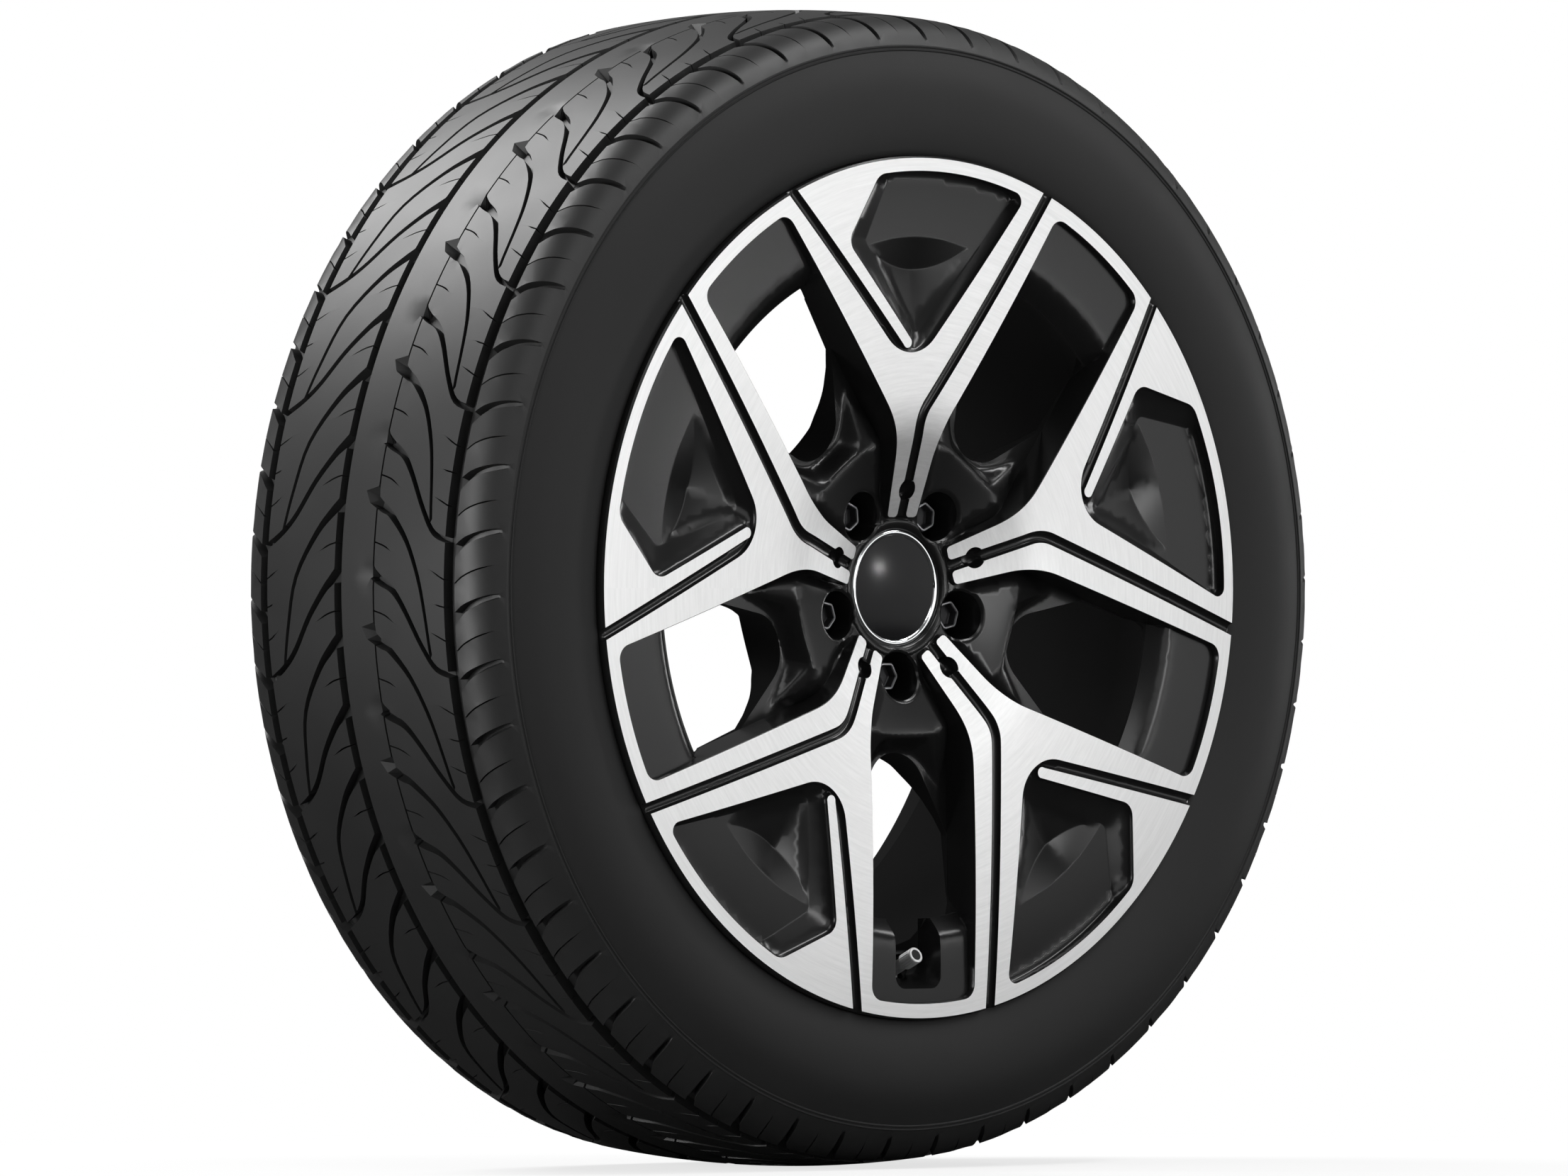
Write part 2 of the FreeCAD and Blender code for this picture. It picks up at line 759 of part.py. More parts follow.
def valve_core():
    """Housing, pin, spring and seals of the core that holds the air."""
    top = stem_length - core_top
    foot = top - core_length
    core_r = stem_bore / 2 - cap_gap
    neck_r = core_r - core_spring_wire * 2
    pin_r = pin_diameter / 2
    room_r = core_bore / 2
    shoulder_low = top - core_shoulder
    guide_low = top - core_shoulder / 2
    collar_top = guide_low - cap_gap
    collar_low = collar_top - pin_collar_height
    spring_low = collar_low - cap_gap - core_spring_length
    housing = bar(core_r, shoulder_low, top).fuse(bar(neck_r, foot, shoulder_low)).removeSplitter()
    room = bar(room_r, spring_low - cap_gap, guide_low)
    housing = housing.cut([room, bar(pin_r + running_gap / 2, foot, top)])
    ring_top = shoulder_low - cap_gap
    ring = bar(core_r, ring_top - barrel_ring_height, ring_top).cut(bar(neck_r + cap_gap, foot, top))
    gasket_top = foot - cap_gap
    gasket_low = gasket_top - gasket_height
    plate_top = gasket_low - cap_gap
    plate_low = plate_top - core_bore / 2
    pin = bar(pin_r, plate_low, stem_length - core_top / 2)
    collar = bar(room_r - running_gap, collar_low, collar_top)
    pin = pin.fuse([bar(pin_head_diameter / 2, plate_low, plate_top), collar]).removeSplitter()
    gasket = bar(neck_r, gasket_low, gasket_top).cut(bar(pin_r + cap_gap / 2, plate_low, top))
    spring_r = (pin_r + room_r) / 2
    helix = Part.makeHelix((core_spring_length - core_spring_wire) / core_spring_turns,
                           core_spring_length - core_spring_wire, spring_r)
    start = Part.Circle(Vector(spring_r, 0, 0), axis_y, core_spring_wire / 2)
    coil = Part.Wire(helix).makePipeShell([Part.Wire(start.toShape())], True, True)
    coil.translate(Vector(0, 0, spring_low + core_spring_wire / 2))
    return housing, ring, pin, gasket, coil


def valve_cap():
    """The fluted screw cap and the soft disc that seals it."""
    seal_low = stem_length + cap_gap
    ceiling = seal_low + cap_seal_height + cap_gap
    top = ceiling + valve_cap_top
    foot = top - valve_cap_length
    outer = valve_cap_diameter / 2
    shell = bar(outer, foot, top)
    shell = shell.makeChamfer(valve_cap_flute_depth, [shell.Edges[0]])
    room = bar(thread_diameter / 2 + running_gap, foot - 1, ceiling)
    deep = Vector(outer - valve_cap_flute_depth, 0, foot)
    open_r = outer + valve_cap_flute_depth
    sides = [Vector(open_r, valve_cap_flute_depth * k, foot) for k in (-2, 2)]
    notch = Part.Face(Part.makePolygon([deep] + sides + [deep]))
    notch = notch.extrude(Vector(0, 0, valve_cap_length - valve_cap_top))
    flutes = []
    for k in range(valve_cap_flutes):
        flute = notch.copy()
        flute.rotate(middle, Vector(0, 0, 1), 360.0 / valve_cap_flutes * k)
        flutes.append(flute)
    seal = bar(thread_diameter / 2, seal_low, seal_low + cap_seal_height)
    return shell.cut([room] + flutes), seal


def sensor_pieces():
    """Sealed pressure sensor and the screw that holds it to the stem."""
    top = -seal_lip - stem_head_height - cap_gap
    low = top - sensor_width
    box = Part.makeBox(sensor_length, sensor_height, sensor_width,
                       Vector(-sensor_length / 2, sensor_shift - sensor_height / 2, low))
    uprights = [edge for edge in box.Edges if abs(edge.tangentAt(edge.FirstParameter).y) > 0.9]
    box = box.makeFillet(sensor_corner, uprights)
    ear_low = top - sensor_ear
    access = bar(screw_head_diameter / 2 + running_gap, low - 1, ear_low)
    hole = bar(screw_diameter / 2 + cap_gap, low - 1, top + 1)
    housing = box.cut([access, hole])
    head_top = ear_low - cap_gap
    screw = bar(screw_head_diameter / 2, head_top - screw_head_height, head_top)
    screw = screw.fuse(bar(screw_diameter / 2 - cap_gap, head_top, head_top + sensor_ear + screw_length - 1))
    slot = hexagon(screw_diameter / 2, head_top - screw_head_height, head_top - screw_head_height / 2)
    return housing, screw.removeSplitter().cut(slot)


def crown(out, depth=0.0):
    """Radius of the tread at that distance outboard, less a depth."""
    return tread_r - crown_curve + math.sqrt(crown_curve ** 2 - out ** 2) - depth


def tread_slot(bends):
    """Prism of a groove from its bends: distance outboard, angle and width."""
    centre = (bends[0][1] + bends[-1][1]) / 2
    low = shoulder_radius - claw_depth
    flat = [(out, tread_r * math.sin(math.radians(angle - centre))) for out, angle, width in bends]
    near, far = [], []
    for k, (out, angle, width) in enumerate(bends):
        ahead = flat[min(k + 1, len(flat) - 1)]
        behind = flat[max(k - 1, 0)]
        run = Vector(0, behind[0] - ahead[0], ahead[1] - behind[1]).normalize()
        side = Vector(0, run.z, -run.y) * (width / 2)
        at = Vector(low, -out, flat[k][1])
        near.append(at + side)
        far.insert(0, at - side)
    outline = Part.Face(Part.makePolygon(near + far + near[:1]))
    return spun(outline.extrude(Vector(tread_r + claw_depth - low, 0, 0)), -centre)


def tread_slots():
    """The claws and cross grooves that reach into one pitch of the tread."""
    slots = []
    for side, start, end in ((1, slit_out, outer_groove_out), (-1, -rib_groove_out, -inner_groove_out)):
        long_run, short_run, cross_run = [], [], []
        for k in range(claw_steps + 1):
            t = k / claw_steps
            easing = t * t * (3 - 2 * t)
            mouth = max(0.0, 1 - 3 * t) * (claw_mouth - claw_width)
            width = claw_width + mouth
            long_run.append((side * (start + (end - start) * t), long_claw_sweep * easing, width))
            width += (short_claw_tip - claw_width) * t
            short_angle = short_claw_lead + short_claw_sweep * t ** short_claw_bend
            short_run.append((side * (start + short_claw_reach * t), short_angle, width))
        for k in range(cross_groove_steps + 1):
            t = k / cross_groove_steps
            width = cross_groove_width + (cross_groove_tip - cross_groove_width) * t
            cross_angle = cross_groove_lead - cross_groove_sweep * (1 - (1 - t) ** 2)
            cross_run.append((side * (end + (half_shoulder + cross_groove_fade - end) * t), cross_angle, width))
        halfway = [(out, angle + tread_pitch / 2, width) for out, angle, width in cross_run]
        slots += [tread_slot(run) for run in (long_run, short_run, cross_run, halfway)]
    return [spun(slot, tread_pitch * k) for k in (-1, 0, 1, 2) for slot in slots]


def tread_room():
    """What the slots may cut away from one pitch, down to their floor."""
    edge = half_shoulder + cross_groove_fade
    foot = shoulder_radius + cross_groove_fade
    top = tread_r + claw_depth
    floor_r = crown(outer_groove_out, claw_depth)
    path = Path(section_plane, foot, -edge)
    path.line((floor_r, -outer_groove_out))
    path.arc((tread_r - claw_depth, 0), (floor_r, outer_groove_out))
    path.line((foot, edge), (top, edge), (top, -edge))
    return path.face().revolve(middle, axis_y, -tread_pitch)


def ring_of_pitches(block):
    """Join copies of one pitch round the axis, without the walls between them."""
    skin = []
    for face in block.Faces:
        ends = [max(abs(v.Z) for v in copy.Vertexes) for copy in (face, spun(face, tread_pitch))]
        if min(ends) > tight:
            skin.append(face)
    shell = Part.makeCompound([spun(face, -tread_pitch * k) for k in range(tread_pitches) for face in skin])
    shell.sewShape()
    solid = Part.Solid(shell.Shells[0])
    if solid.Volume < 0:
        solid.reverse()
    return solid


def tyre():
    """Tyre section with its round grooves, and one pitch of its pattern repeated."""
    half_bulge = tyre_width / 2
    half_skim = skim_width / 2
    toe_out = seat_end_out
    toe_r = seat_r - math.tan(math.radians(seat_taper)) * seat_length + seat_gap

    def outer_side(side, path):
        edge_r = crown(half_crown)
        shoulder = ((edge_r + shoulder_radius) / 2 + shoulder_round,
                    side * ((half_crown + half_shoulder) / 2 + shoulder_round))
        ridge = (shoulder_radius - ridge_width / 2, side * (half_shoulder + ridge_height))
        below = (shoulder_radius - ridge_width, side * half_shoulder)
        if side > 0:
            path.arc((bulge_radius, half_bulge), below).line(ridge, (shoulder_radius, half_shoulder))
            path.arc(shoulder, (edge_r, half_crown))
        else:
            path.arc(shoulder, (shoulder_radius, -half_shoulder)).line(ridge, below)
            path.arc((bulge_radius, -half_bulge), (skim_radius, -half_skim))
        return path

    path = Path(section_plane, toe_r, toe_out)
    flange_side(path, 1, seat_gap, True)
    path.line((skim_radius, half_skim))
    outer_side(1, path)
    grooves = ((outer_groove_out, wide_groove_width, groove_depth),
               (slit_out, slit_width, slit_depth),
               (rib_groove_out, groove_width, groove_depth),
               (inner_groove_out, groove_width, groove_depth))
    last = half_crown
    for out, width, depth in grooves:
        taper = groove_taper * min(1.0, width / groove_width)
        high, low = out + width / 2, out - width / 2
        path.arc((crown((last + high) / 2), (last + high) / 2), (crown(high), high))
        path.line((crown(out, depth), high - taper), (crown(out, depth), low + taper), (crown(low), low))
        last = low
    path.arc((crown((last - half_crown) / 2), (last - half_crown) / 2), (crown(half_crown), -half_crown))
    outer_side(-1, path)
    flange_side(path, -1, seat_gap, False)
    path.line((toe_r, -toe_out))
    bead_r = flange_r - flange_curve
    inner_bead = half_width - bead_thickness
    inner_side = half_bulge - side_thickness
    inner_top = tread_r - tread_thickness
    inner_edge = (inner_top - crown_drop, half_crown)
    path.line((bead_r, -inner_bead))
    path.arc((bulge_radius, -inner_side), (inner_edge[0], -inner_edge[1]))
    path.arc((inner_top, 0), inner_edge)
    path.arc((bulge_radius, inner_side), (bead_r, inner_bead))
    block = path.face().revolve(middle, axis_y, -tread_pitch)
    block = block.cut(tread_room().common(tread_slots()))
    return spun(ring_of_pitches(block), -tread_phase)


def main():
    cap_shell, cap_ring, cap_wire = cap_pieces()
    sleeve, washer, nut = valve_seals()
    housing, ring, pin, gasket, coil = valve_core()
    cap, cap_seal = valve_cap()
    sensor, screw = sensor_pieces()
    on_valve = {
        "valve_stem": valve_stem(),
        "valve_sleeve_seal": sleeve,
        "valve_washer": washer,
        "valve_nut": nut,
        "valve_core_housing": housing,
        "valve_core_ring_seal": ring,
        "valve_core_pin": pin,
        "valve_core_gasket": gasket,
        "valve_core_spring": coil,
        "valve_cap": cap,
        "valve_cap_seal": cap_seal,
        "sensor_housing": sensor,
        "sensor_screw": screw,
    }
    pieces = {
        "alloy_wheel": alloy_wheel(),
        "tyre": tyre(),
        "wheel_bolts": wheel_bolts(),
        "centre_cap_shell": cap_shell,
        "centre_cap_ring": cap_ring,
        "centre_cap_spring": cap_wire,
    }
    pieces.update({name: valve_place(shape) for name, shape in on_valve.items()})
    os.makedirs("parts", exist_ok=True)
    for name, shape in pieces.items():
        shape.translate(Vector(0, wheel_offset, 0))
        shape.exportStep("parts/" + name + ".step")
        print(name, len(shape.Solids), shape.isValid(), round(shape.Volume / 1000, 2), "cm3")


main()
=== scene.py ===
import json
import math

import bmesh
import bpy
import numpy as np
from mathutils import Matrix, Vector
from mathutils.geometry import delaunay_2d_cdt


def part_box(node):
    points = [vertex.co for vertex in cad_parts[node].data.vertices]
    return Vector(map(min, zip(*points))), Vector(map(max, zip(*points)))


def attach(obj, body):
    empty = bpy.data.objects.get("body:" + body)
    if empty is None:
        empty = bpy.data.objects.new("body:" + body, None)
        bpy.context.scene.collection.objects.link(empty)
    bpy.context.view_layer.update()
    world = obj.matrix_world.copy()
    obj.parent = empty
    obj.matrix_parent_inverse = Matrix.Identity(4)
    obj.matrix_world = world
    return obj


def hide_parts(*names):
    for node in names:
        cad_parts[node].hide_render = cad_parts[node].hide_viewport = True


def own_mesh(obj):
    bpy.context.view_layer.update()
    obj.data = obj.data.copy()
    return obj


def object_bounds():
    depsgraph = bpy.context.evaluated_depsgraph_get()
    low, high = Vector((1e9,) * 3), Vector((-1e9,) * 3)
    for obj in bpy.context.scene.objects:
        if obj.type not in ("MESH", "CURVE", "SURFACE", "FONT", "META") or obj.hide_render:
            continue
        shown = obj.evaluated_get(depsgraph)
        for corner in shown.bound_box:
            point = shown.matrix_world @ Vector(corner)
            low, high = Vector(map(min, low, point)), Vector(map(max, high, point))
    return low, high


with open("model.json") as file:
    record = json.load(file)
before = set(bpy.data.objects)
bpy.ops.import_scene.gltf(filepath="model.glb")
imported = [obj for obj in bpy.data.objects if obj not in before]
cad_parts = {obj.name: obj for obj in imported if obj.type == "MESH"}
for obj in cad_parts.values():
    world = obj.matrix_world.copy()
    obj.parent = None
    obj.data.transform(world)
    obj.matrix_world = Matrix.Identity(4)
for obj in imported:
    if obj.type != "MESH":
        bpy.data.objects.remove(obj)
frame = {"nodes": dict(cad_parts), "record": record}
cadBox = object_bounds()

print("frame loaded:", len(frame["nodes"]), "nodes")

# Shapes below are drawn in millimetres in the plane of the wheel's face, x to the right and z up,
# with drop as the depth behind the face's outer edge. place() turns them into metres.
# The spoke that points up is drawn, and the others are its turns.


# Flat drawing

def norm(v):
    return v / np.maximum(np.linalg.norm(v, axis=-1, keepdims=True), 1e-12)


def lengths(p):
    # distance of each point from the middle
    return np.hypot(p[:, 0], p[:, 1])


def turn(points, degrees):
    # clockwise, as seen from the front
    a = math.radians(degrees)
    c, s = math.cos(a), math.sin(a)
    p = np.asarray(points, float)
    return np.stack([p[..., 0] * c + p[..., 1] * s, p[..., 1] * c - p[..., 0] * s], -1)


def polar(radius, degrees):
    a = np.radians(degrees)
    return np.stack([radius * np.sin(a), radius * np.cos(a)], -1)


def sweep(centre, start, end, step):
    # the shorter arc from start to end
    centre, start, end = (np.asarray(p, float) for p in (centre, start, end))
    a, b = start - centre, end - centre
    first = math.atan2(a[1], a[0])
    span = (math.atan2(b[1], b[0]) - first + math.pi) % (2 * math.pi) - math.pi
    size = np.linalg.norm(a)
    count = max(2, math.ceil(abs(span) * size / step), math.ceil(abs(span) / 0.2))
    t = first + np.linspace(0, span, count + 1)
    return centre + size * np.stack([np.cos(t), np.sin(t)], -1)


def spread(points, step):
    # adds points along the long straight runs
    out = [points[:1]]
    for a, b in zip(points[:-1], points[1:]):
        count = max(1, math.ceil(np.linalg.norm(b - a) / step - 0.25))
        out.append(a + (b - a) * (np.arange(1, count + 1) / count)[:, None])
    return np.concatenate(out)


def rounded(corners, radii, step):
    # an open run of straight sides with rounded corners
    corners = np.asarray(corners, float)
    out = [corners[:1]]
    for before, p, after, radius in zip(corners[:-2], corners[1:-1], corners[2:], radii):
        a, b = norm(before - p), norm(after - p)
        half = math.acos(np.clip(a @ b, -1, 1)) / 2
        reach = radius / math.tan(half)
        centre = p + norm(a + b) * radius / math.sin(half)
        out.append(sweep(centre, p + a * reach, p + b * reach, step))
    out.append(corners[-1:])
    return np.concatenate(out)


def shifted(points, distance, closed=False):
    # the outline moved sideways, to the right of its run
    p = np.asarray(points, float)
    if closed:
        ahead = norm(np.roll(p, -1, 0) - p)
        behind = np.roll(ahead, 1, 0)
    else:
        runs = norm(p[1:] - p[:-1])
        ahead = np.concatenate([runs, runs[-1:]])
        behind = np.concatenate([runs[:1], runs])
    mid = norm(ahead + behind)
    stretch = 1 / np.maximum((mid * ahead).sum(-1, keepdims=True), 0.5)
    return p + np.stack([mid[:, 1], -mid[:, 0]], -1) * stretch * distance


chunk = 3000  # points that are compared with a line at once


def nearness(points, line):
    # distance from each point to the nearest part of a line
    a, d = line[:-1], line[1:] - line[:-1]
    size = np.maximum((d * d).sum(-1), 1e-12)
    out = []
    for part in np.array_split(points, max(1, len(points) // chunk)):
        gap = part[:, None] - a[None]
        t = np.clip((gap * d).sum(-1) / size, 0, 1)
        out.append(np.sqrt(((gap - t[..., None] * d) ** 2).sum(-1).min(1)))
    return np.concatenate(out)


def within(points, loop):
    # even-odd test against a closed loop
    a, b = loop, np.roll(loop, -1, 0)
    out = []
    for part in np.array_split(points, max(1, len(points) // chunk)):
        x, z = part[:, :1], part[:, 1:]
        crosses = (a[:, 1] > z) != (b[:, 1] > z)
        rise = np.where(b[:, 1] == a[:, 1], 1e-12, b[:, 1] - a[:, 1])
        at = a[:, 0] + (z - a[:, 1]) * (b[:, 0] - a[:, 0]) / rise
        out.append((crosses & (x < at)).sum(1) % 2 == 1)
    return np.concatenate(out)


def ease(t):
    t = np.clip(t, 0, 1)
    return t * t * (3 - 2 * t)


def softMin(a, b, width):
    near = np.maximum(width - np.abs(a - b), 0) / width
    return np.minimum(a, b) - near * near * width / 4


class Plan:
    # lines and loose points of a flat drawing, cut into triangles in one go
    weld = 0.004  # points as close as this are one

    def __init__(self):
        self.points, self.edges, self.count = [], [], 0

    def line(self, points, closed=False):
        ids = np.arange(self.count, self.count + len(points))
        pairs = np.stack([ids[:-1], ids[1:]], -1)
        if closed:
            pairs = np.concatenate([pairs, [[ids[-1], ids[0]]]])
        self.points.append(np.asarray(points, float))
        self.edges.append(pairs)
        self.count += len(points)

    def pairs(self, ends):
        # separate edges, each given by its two points
        ids = np.arange(self.count, self.count + 2 * len(ends)).reshape(-1, 2)
        self.points.append(np.asarray(ends, float).reshape(-1, 2))
        self.edges.append(ids)
        self.count += 2 * len(ends)

    def fill(self, spots, clear):
        # loose points that keep clear of the lines
        taken = {}
        for p in np.concatenate(self.points):
            taken.setdefault((int(p[0] // clear), int(p[1] // clear)), []).append(p)
        keep = []
        for p in spots:
            i, j = int(p[0] // clear), int(p[1] // clear)
            close = [q for a in (-1, 0, 1) for b in (-1, 0, 1) for q in taken.get((i + a, j + b), ())]
            if all((p[0] - q[0]) ** 2 + (p[1] - q[1]) ** 2 > clear * clear for q in close):
                keep.append(p)
        self.points.append(np.array(keep).reshape(-1, 2))
        self.count += len(keep)

    def cut(self):
        spots = [Vector(p) for p in np.concatenate(self.points).tolist()]
        pairs = np.concatenate(self.edges).tolist()
        made = delaunay_2d_cdt(spots, pairs, [], 0, self.weld)
        return np.array([tuple(p) for p in made[0]]), np.array([tuple(f) for f in made[2]])


def hexGrid(low, high, pitch):
    # rows of points, each half a pitch beside the last
    row = np.arange(low[0], high[0], pitch)
    rows = np.arange(low[1], high[1], pitch * 0.866)
    spots = [np.stack([row + (k % 2) * pitch / 2, np.full(len(row), z)], -1) for k, z in enumerate(rows)]
    return np.concatenate(spots)


def ringGrid(size, pitch, low, high):
    # an even spread of points between two radii
    grid = hexGrid((-size, -size), (size, size), pitch)
    far = lengths(grid)
    return grid[(far > low) & (far < high)]


def runsOf(line, keep):
    # the stretches of a line whose points are kept
    ends = np.flatnonzero(np.diff(np.concatenate([[0], keep.astype(int), [0]])))
    return [line[a:b] for a, b in zip(ends[::2], ends[1::2]) if b - a > 1]


def rimEdges(triangles):
    # edges that only one triangle uses, in that triangle's own direction
    pairs = np.concatenate([triangles[:, [0, 1]], triangles[:, [1, 2]], triangles[:, [2, 0]]])
    _, which, count = np.unique(np.sort(pairs, -1), axis=0, return_inverse=True, return_counts=True)
    return pairs[count[which.ravel()] == 1]


# Meshes

class Skin:
    # gathers surfaces of one piece and welds them
    def __init__(self):
        self.points, self.faces, self.marks, self.count = [], [], [], 0

    def add(self, points, faces, mark=0):
        self.points.append(np.asarray(points, float))
        self.faces += (np.asarray(faces) + self.count).tolist()
        self.marks += list(mark) if np.ndim(mark) else [mark] * len(faces)
        self.count += len(points)

    def rings(self, rings, mark=0):
        # a strip of four-sided faces between rings of equally many points
        n = len(rings[0])
        i = np.arange(n)
        faces = [np.stack([k * n + i, k * n + (i + 1) % n, (k + 1) * n + (i + 1) % n, (k + 1) * n + i], -1)
                 for k in range(len(rings) - 1)]
        self.add(np.concatenate(rings), np.concatenate(faces), mark)

    def build(self, name, body, materials, weld=1e-6, crease=38):
        mesh = bpy.data.meshes.new(name)
        mesh.from_pydata(np.concatenate(self.points).tolist(), [], self.faces)
        mesh.polygons.foreach_set("material_index", np.array(self.marks, np.int32))
        made = bmesh.new()
        made.from_mesh(mesh)
        bmesh.ops.remove_doubles(made, verts=made.verts, dist=weld)
        bmesh.ops.dissolve_degenerate(made, dist=weld, edges=made.edges)
        bmesh.ops.recalc_face_normals(made, faces=made.faces)
        limit = math.radians(crease)
        for face in made.faces:
            face.smooth = True
        for edge in made.edges:
            sides = edge.link_faces
            if len(sides) == 2:
                differ = sides[0].material_index != sides[1].material_index
                edge.smooth = not (differ or edge.calc_face_angle(0) > limit)
        made.to_mesh(mesh)
        made.free()
        piece = bpy.data.objects.new(name, mesh)
        bpy.context.scene.collection.objects.link(piece)
        for material in materials:
            mesh.materials.append(material)
        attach(piece, body)
        return piece


# The casting

cast = {
    "spokes": 5, "edgeR": 272.7, "flangeR": 273.9, "edgeFall": 1.2, "crown": 1.8, "step": 3.0,
    "fingerR": 45.0, "fingerDrop": 20.4, "dishR": 92.0, "dishDrop": 5.4, "bendR": 125.0,
    "stemHalf": 12.3, "stemFlare": 5.4, "stemBend": 70.0, "fingerRound": 2.5,
    "windowHalf": 44.5, "windowR": 263.7, "windowCorner": 9.5,
    "wallDepth": 25.0, "wallPlan": 1.8, "wallBreak": 0.4, "wallBlend": 4.0,
    "shelfFrom": 175.0, "shelfR": 221.0, "shelfDrop": 4.0, "shelfSoft": 9.0,
    "ledgeR": 210.5, "ledgeDrop": 14.0,
    "boreR": 37.5, "hubRingR": 44.0, "hubRingDrop": 23.5, "beadDepth": 1.4, "valleyDrop": 22.0,
    "lipDrop": 12.0, "lipZ": 95.0, "lipFlat": 20.0, "lipRound": 10.0, "lipLean": 28.8, "lipEnd": 175.0,
    "lipSoft": 3.0, "wedgeR": 142.0, "wedgeDrop": 26.0,
    "flankPlan": 9.5, "flankFall": 15.0, "flankRound": 24.0,
    "gutterWide": 9.0, "gutterDepth": 4.5, "gutterFrom": 48.0, "gutterIn": 16.0, "gutterOut": 24.0,
    "lugCircle": 56.0, "lugR": 15.5, "lugBreak": 1.5, "lugSlope": 0.8,
    # spacing of the mesh's loose points, and a finer one at the hub's lips
    "grid": 5.0, "gridClear": 2.2, "fine": 1.8, "fineClear": 1.1, "fineReach": 170.0, "fineR": (84.0, 168.0),
}
sector = 360 / cast["spokes"]
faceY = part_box("alloy_wheel")[0].y + cast["crown"] / 1000


def place(points, drop):
    p = np.asarray(points, float)
    return np.stack([p[:, 0], faceY * 1000 + np.broadcast_to(drop, len(p)), p[:, 1]], -1) / 1000


def leaning(lean, offset):
    # a line that leans from the spoke's axis and passes the wheel's centre at a distance
    a = math.radians(lean)
    side = 1 if lean < 0 else -1
    return np.array([math.sin(a), math.cos(a)]), np.array([math.cos(a), -math.sin(a)]) * side * offset


def crossing(one, two):
    (a, p), (b, q) = one, two
    t = ((q[0] - p[0]) * b[1] - (q[1] - p[1]) * b[0]) / (a[0] * b[1] - a[1] * b[0])
    return p + a * t


def onRing(line, ring):
    way, foot = line
    along = foot @ way
    return foot + way * (math.sqrt(ring * ring - foot @ foot + along * along) - along)


def ringRound(line, ring, radius, side):
    # centre and ends of the round between a line and a ring that closes it
    way, foot = line
    inward = np.array([way[1], -way[0]]) * side
    centre = onRing((way, foot + inward * radius), ring - radius)
    return centre, centre - inward * radius, norm(centre) * ring


def spokeOutline():
    step, half = cast["step"], cast["windowHalf"]
    turnBy = math.radians(sector / 2)
    side = (np.array([math.sin(turnBy), math.cos(turnBy)]),
            np.array([-half * math.cos(turnBy), half * math.sin(turnBy)]))
    flare = math.radians(cast["stemFlare"])
    stem = (np.array([math.sin(flare), math.cos(flare)]), np.array([cast["stemHalf"], cast["fingerR"]]))
    centre, start, end = ringRound(side, cast["windowR"], cast["windowCorner"], 1)
    run = rounded([(0, cast["fingerR"]), stem[1], crossing(stem, side), start],
                  [cast["fingerRound"], cast["stemBend"]], step)
    axis = polar(cast["windowR"], sector / 2)
    right = np.concatenate([run, sweep(centre, start, end, step)[1:], sweep((0, 0), end, axis, step)[1:]])
    left = right[::-1] * [-1, 1]
    return spread(np.concatenate([left, right[1:]]), step)


pocket = {
    "ring": 264.5, "beyond": 280.0, "channelLean": -43.1, "channelOffset": 89.0, "channelWidth": 7.4,
    "lean": 41.8, "nearOffset": 98.8, "farOffset": 96.7, "cutLean": 33.3, "cutOffset": 175.3,
    "apexRound": 27.0, "nearRound": 6.0, "cutRound": 12.0, "farRound": 10.0, "tipReach": 124.5,
    "channelDeep": 3.4, "floorDeep": 7.5, "footRound": 5.0,
    # corners of the wall's foot, which runs out under the rim
    "foot": [(110.0, 274.6), (-0.8, 159.8), (-44.4, 219.6), (-9.8, 285.0)],
    "lensHalf": 44.0, "lensZ": 216.0, "lensOuter": 6.7, "lensInner": 14.0, "lensDeep": 6.0, "lensShare": 0.94,
    "edgeBreak": 0.35, "hollowZ": 155.0, "hollowEase": 5.0, "ridgeZ": 165.0,
}


def pocketOutline():
    step, half = cast["step"], pocket["channelWidth"] / 2
    lower = leaning(pocket["channelLean"], pocket["channelOffset"] - half)
    upper = leaning(pocket["channelLean"], pocket["channelOffset"] + half)
    near = leaning(pocket["lean"], pocket["nearOffset"])
    far = leaning(-pocket["lean"], pocket["farOffset"])
    cut = leaning(pocket["cutLean"], pocket["cutOffset"])
    nearMid, nearStart, nearEnd = ringRound(near, pocket["ring"], pocket["nearRound"], -1)
    cutMid, cutStart, cutEnd = ringRound(cut, pocket["ring"], pocket["cutRound"], 1)
    tipFar = far[1] + far[0] * pocket["tipReach"]
    tipChannel = upper[1] + upper[0] * pocket["tipReach"]
    tipMid = (tipFar + tipChannel) / 2
    tipR = np.linalg.norm(tipFar - tipChannel) / 2
    tip = tipMid - upper[0] * tipR
    run = [rounded([onRing(lower, pocket["beyond"]), crossing(lower, near), nearStart],
                   [pocket["apexRound"]], step),
           sweep(nearMid, nearStart, nearEnd, step)[1:],
           sweep((0, 0), nearEnd, cutEnd, step)[1:],
           sweep(cutMid, cutEnd, cutStart, step)[1:],
           rounded([cutStart, crossing(cut, far), tipFar], [pocket["farRound"]], step)[1:],
           sweep(tipMid, tipFar, tip, 1.0)[1:],
           sweep(tipMid, tip, tipChannel, 1.0)[1:],
           onRing(upper, pocket["beyond"])[None]]
    return spread(np.concatenate(run), step)


groove = {
    "start": 38.0, "half": 3.85, "lean": 38.0, "offset": 68.0, "bend": 26.0, "depth": 4.2,
    "flare": 4.0, "flareRound": 2.6, "mouthRound": 0.3, "dimpleZ": 62.3, "dimpleR": 6.8, "dimpleDepth": 9.0,
}


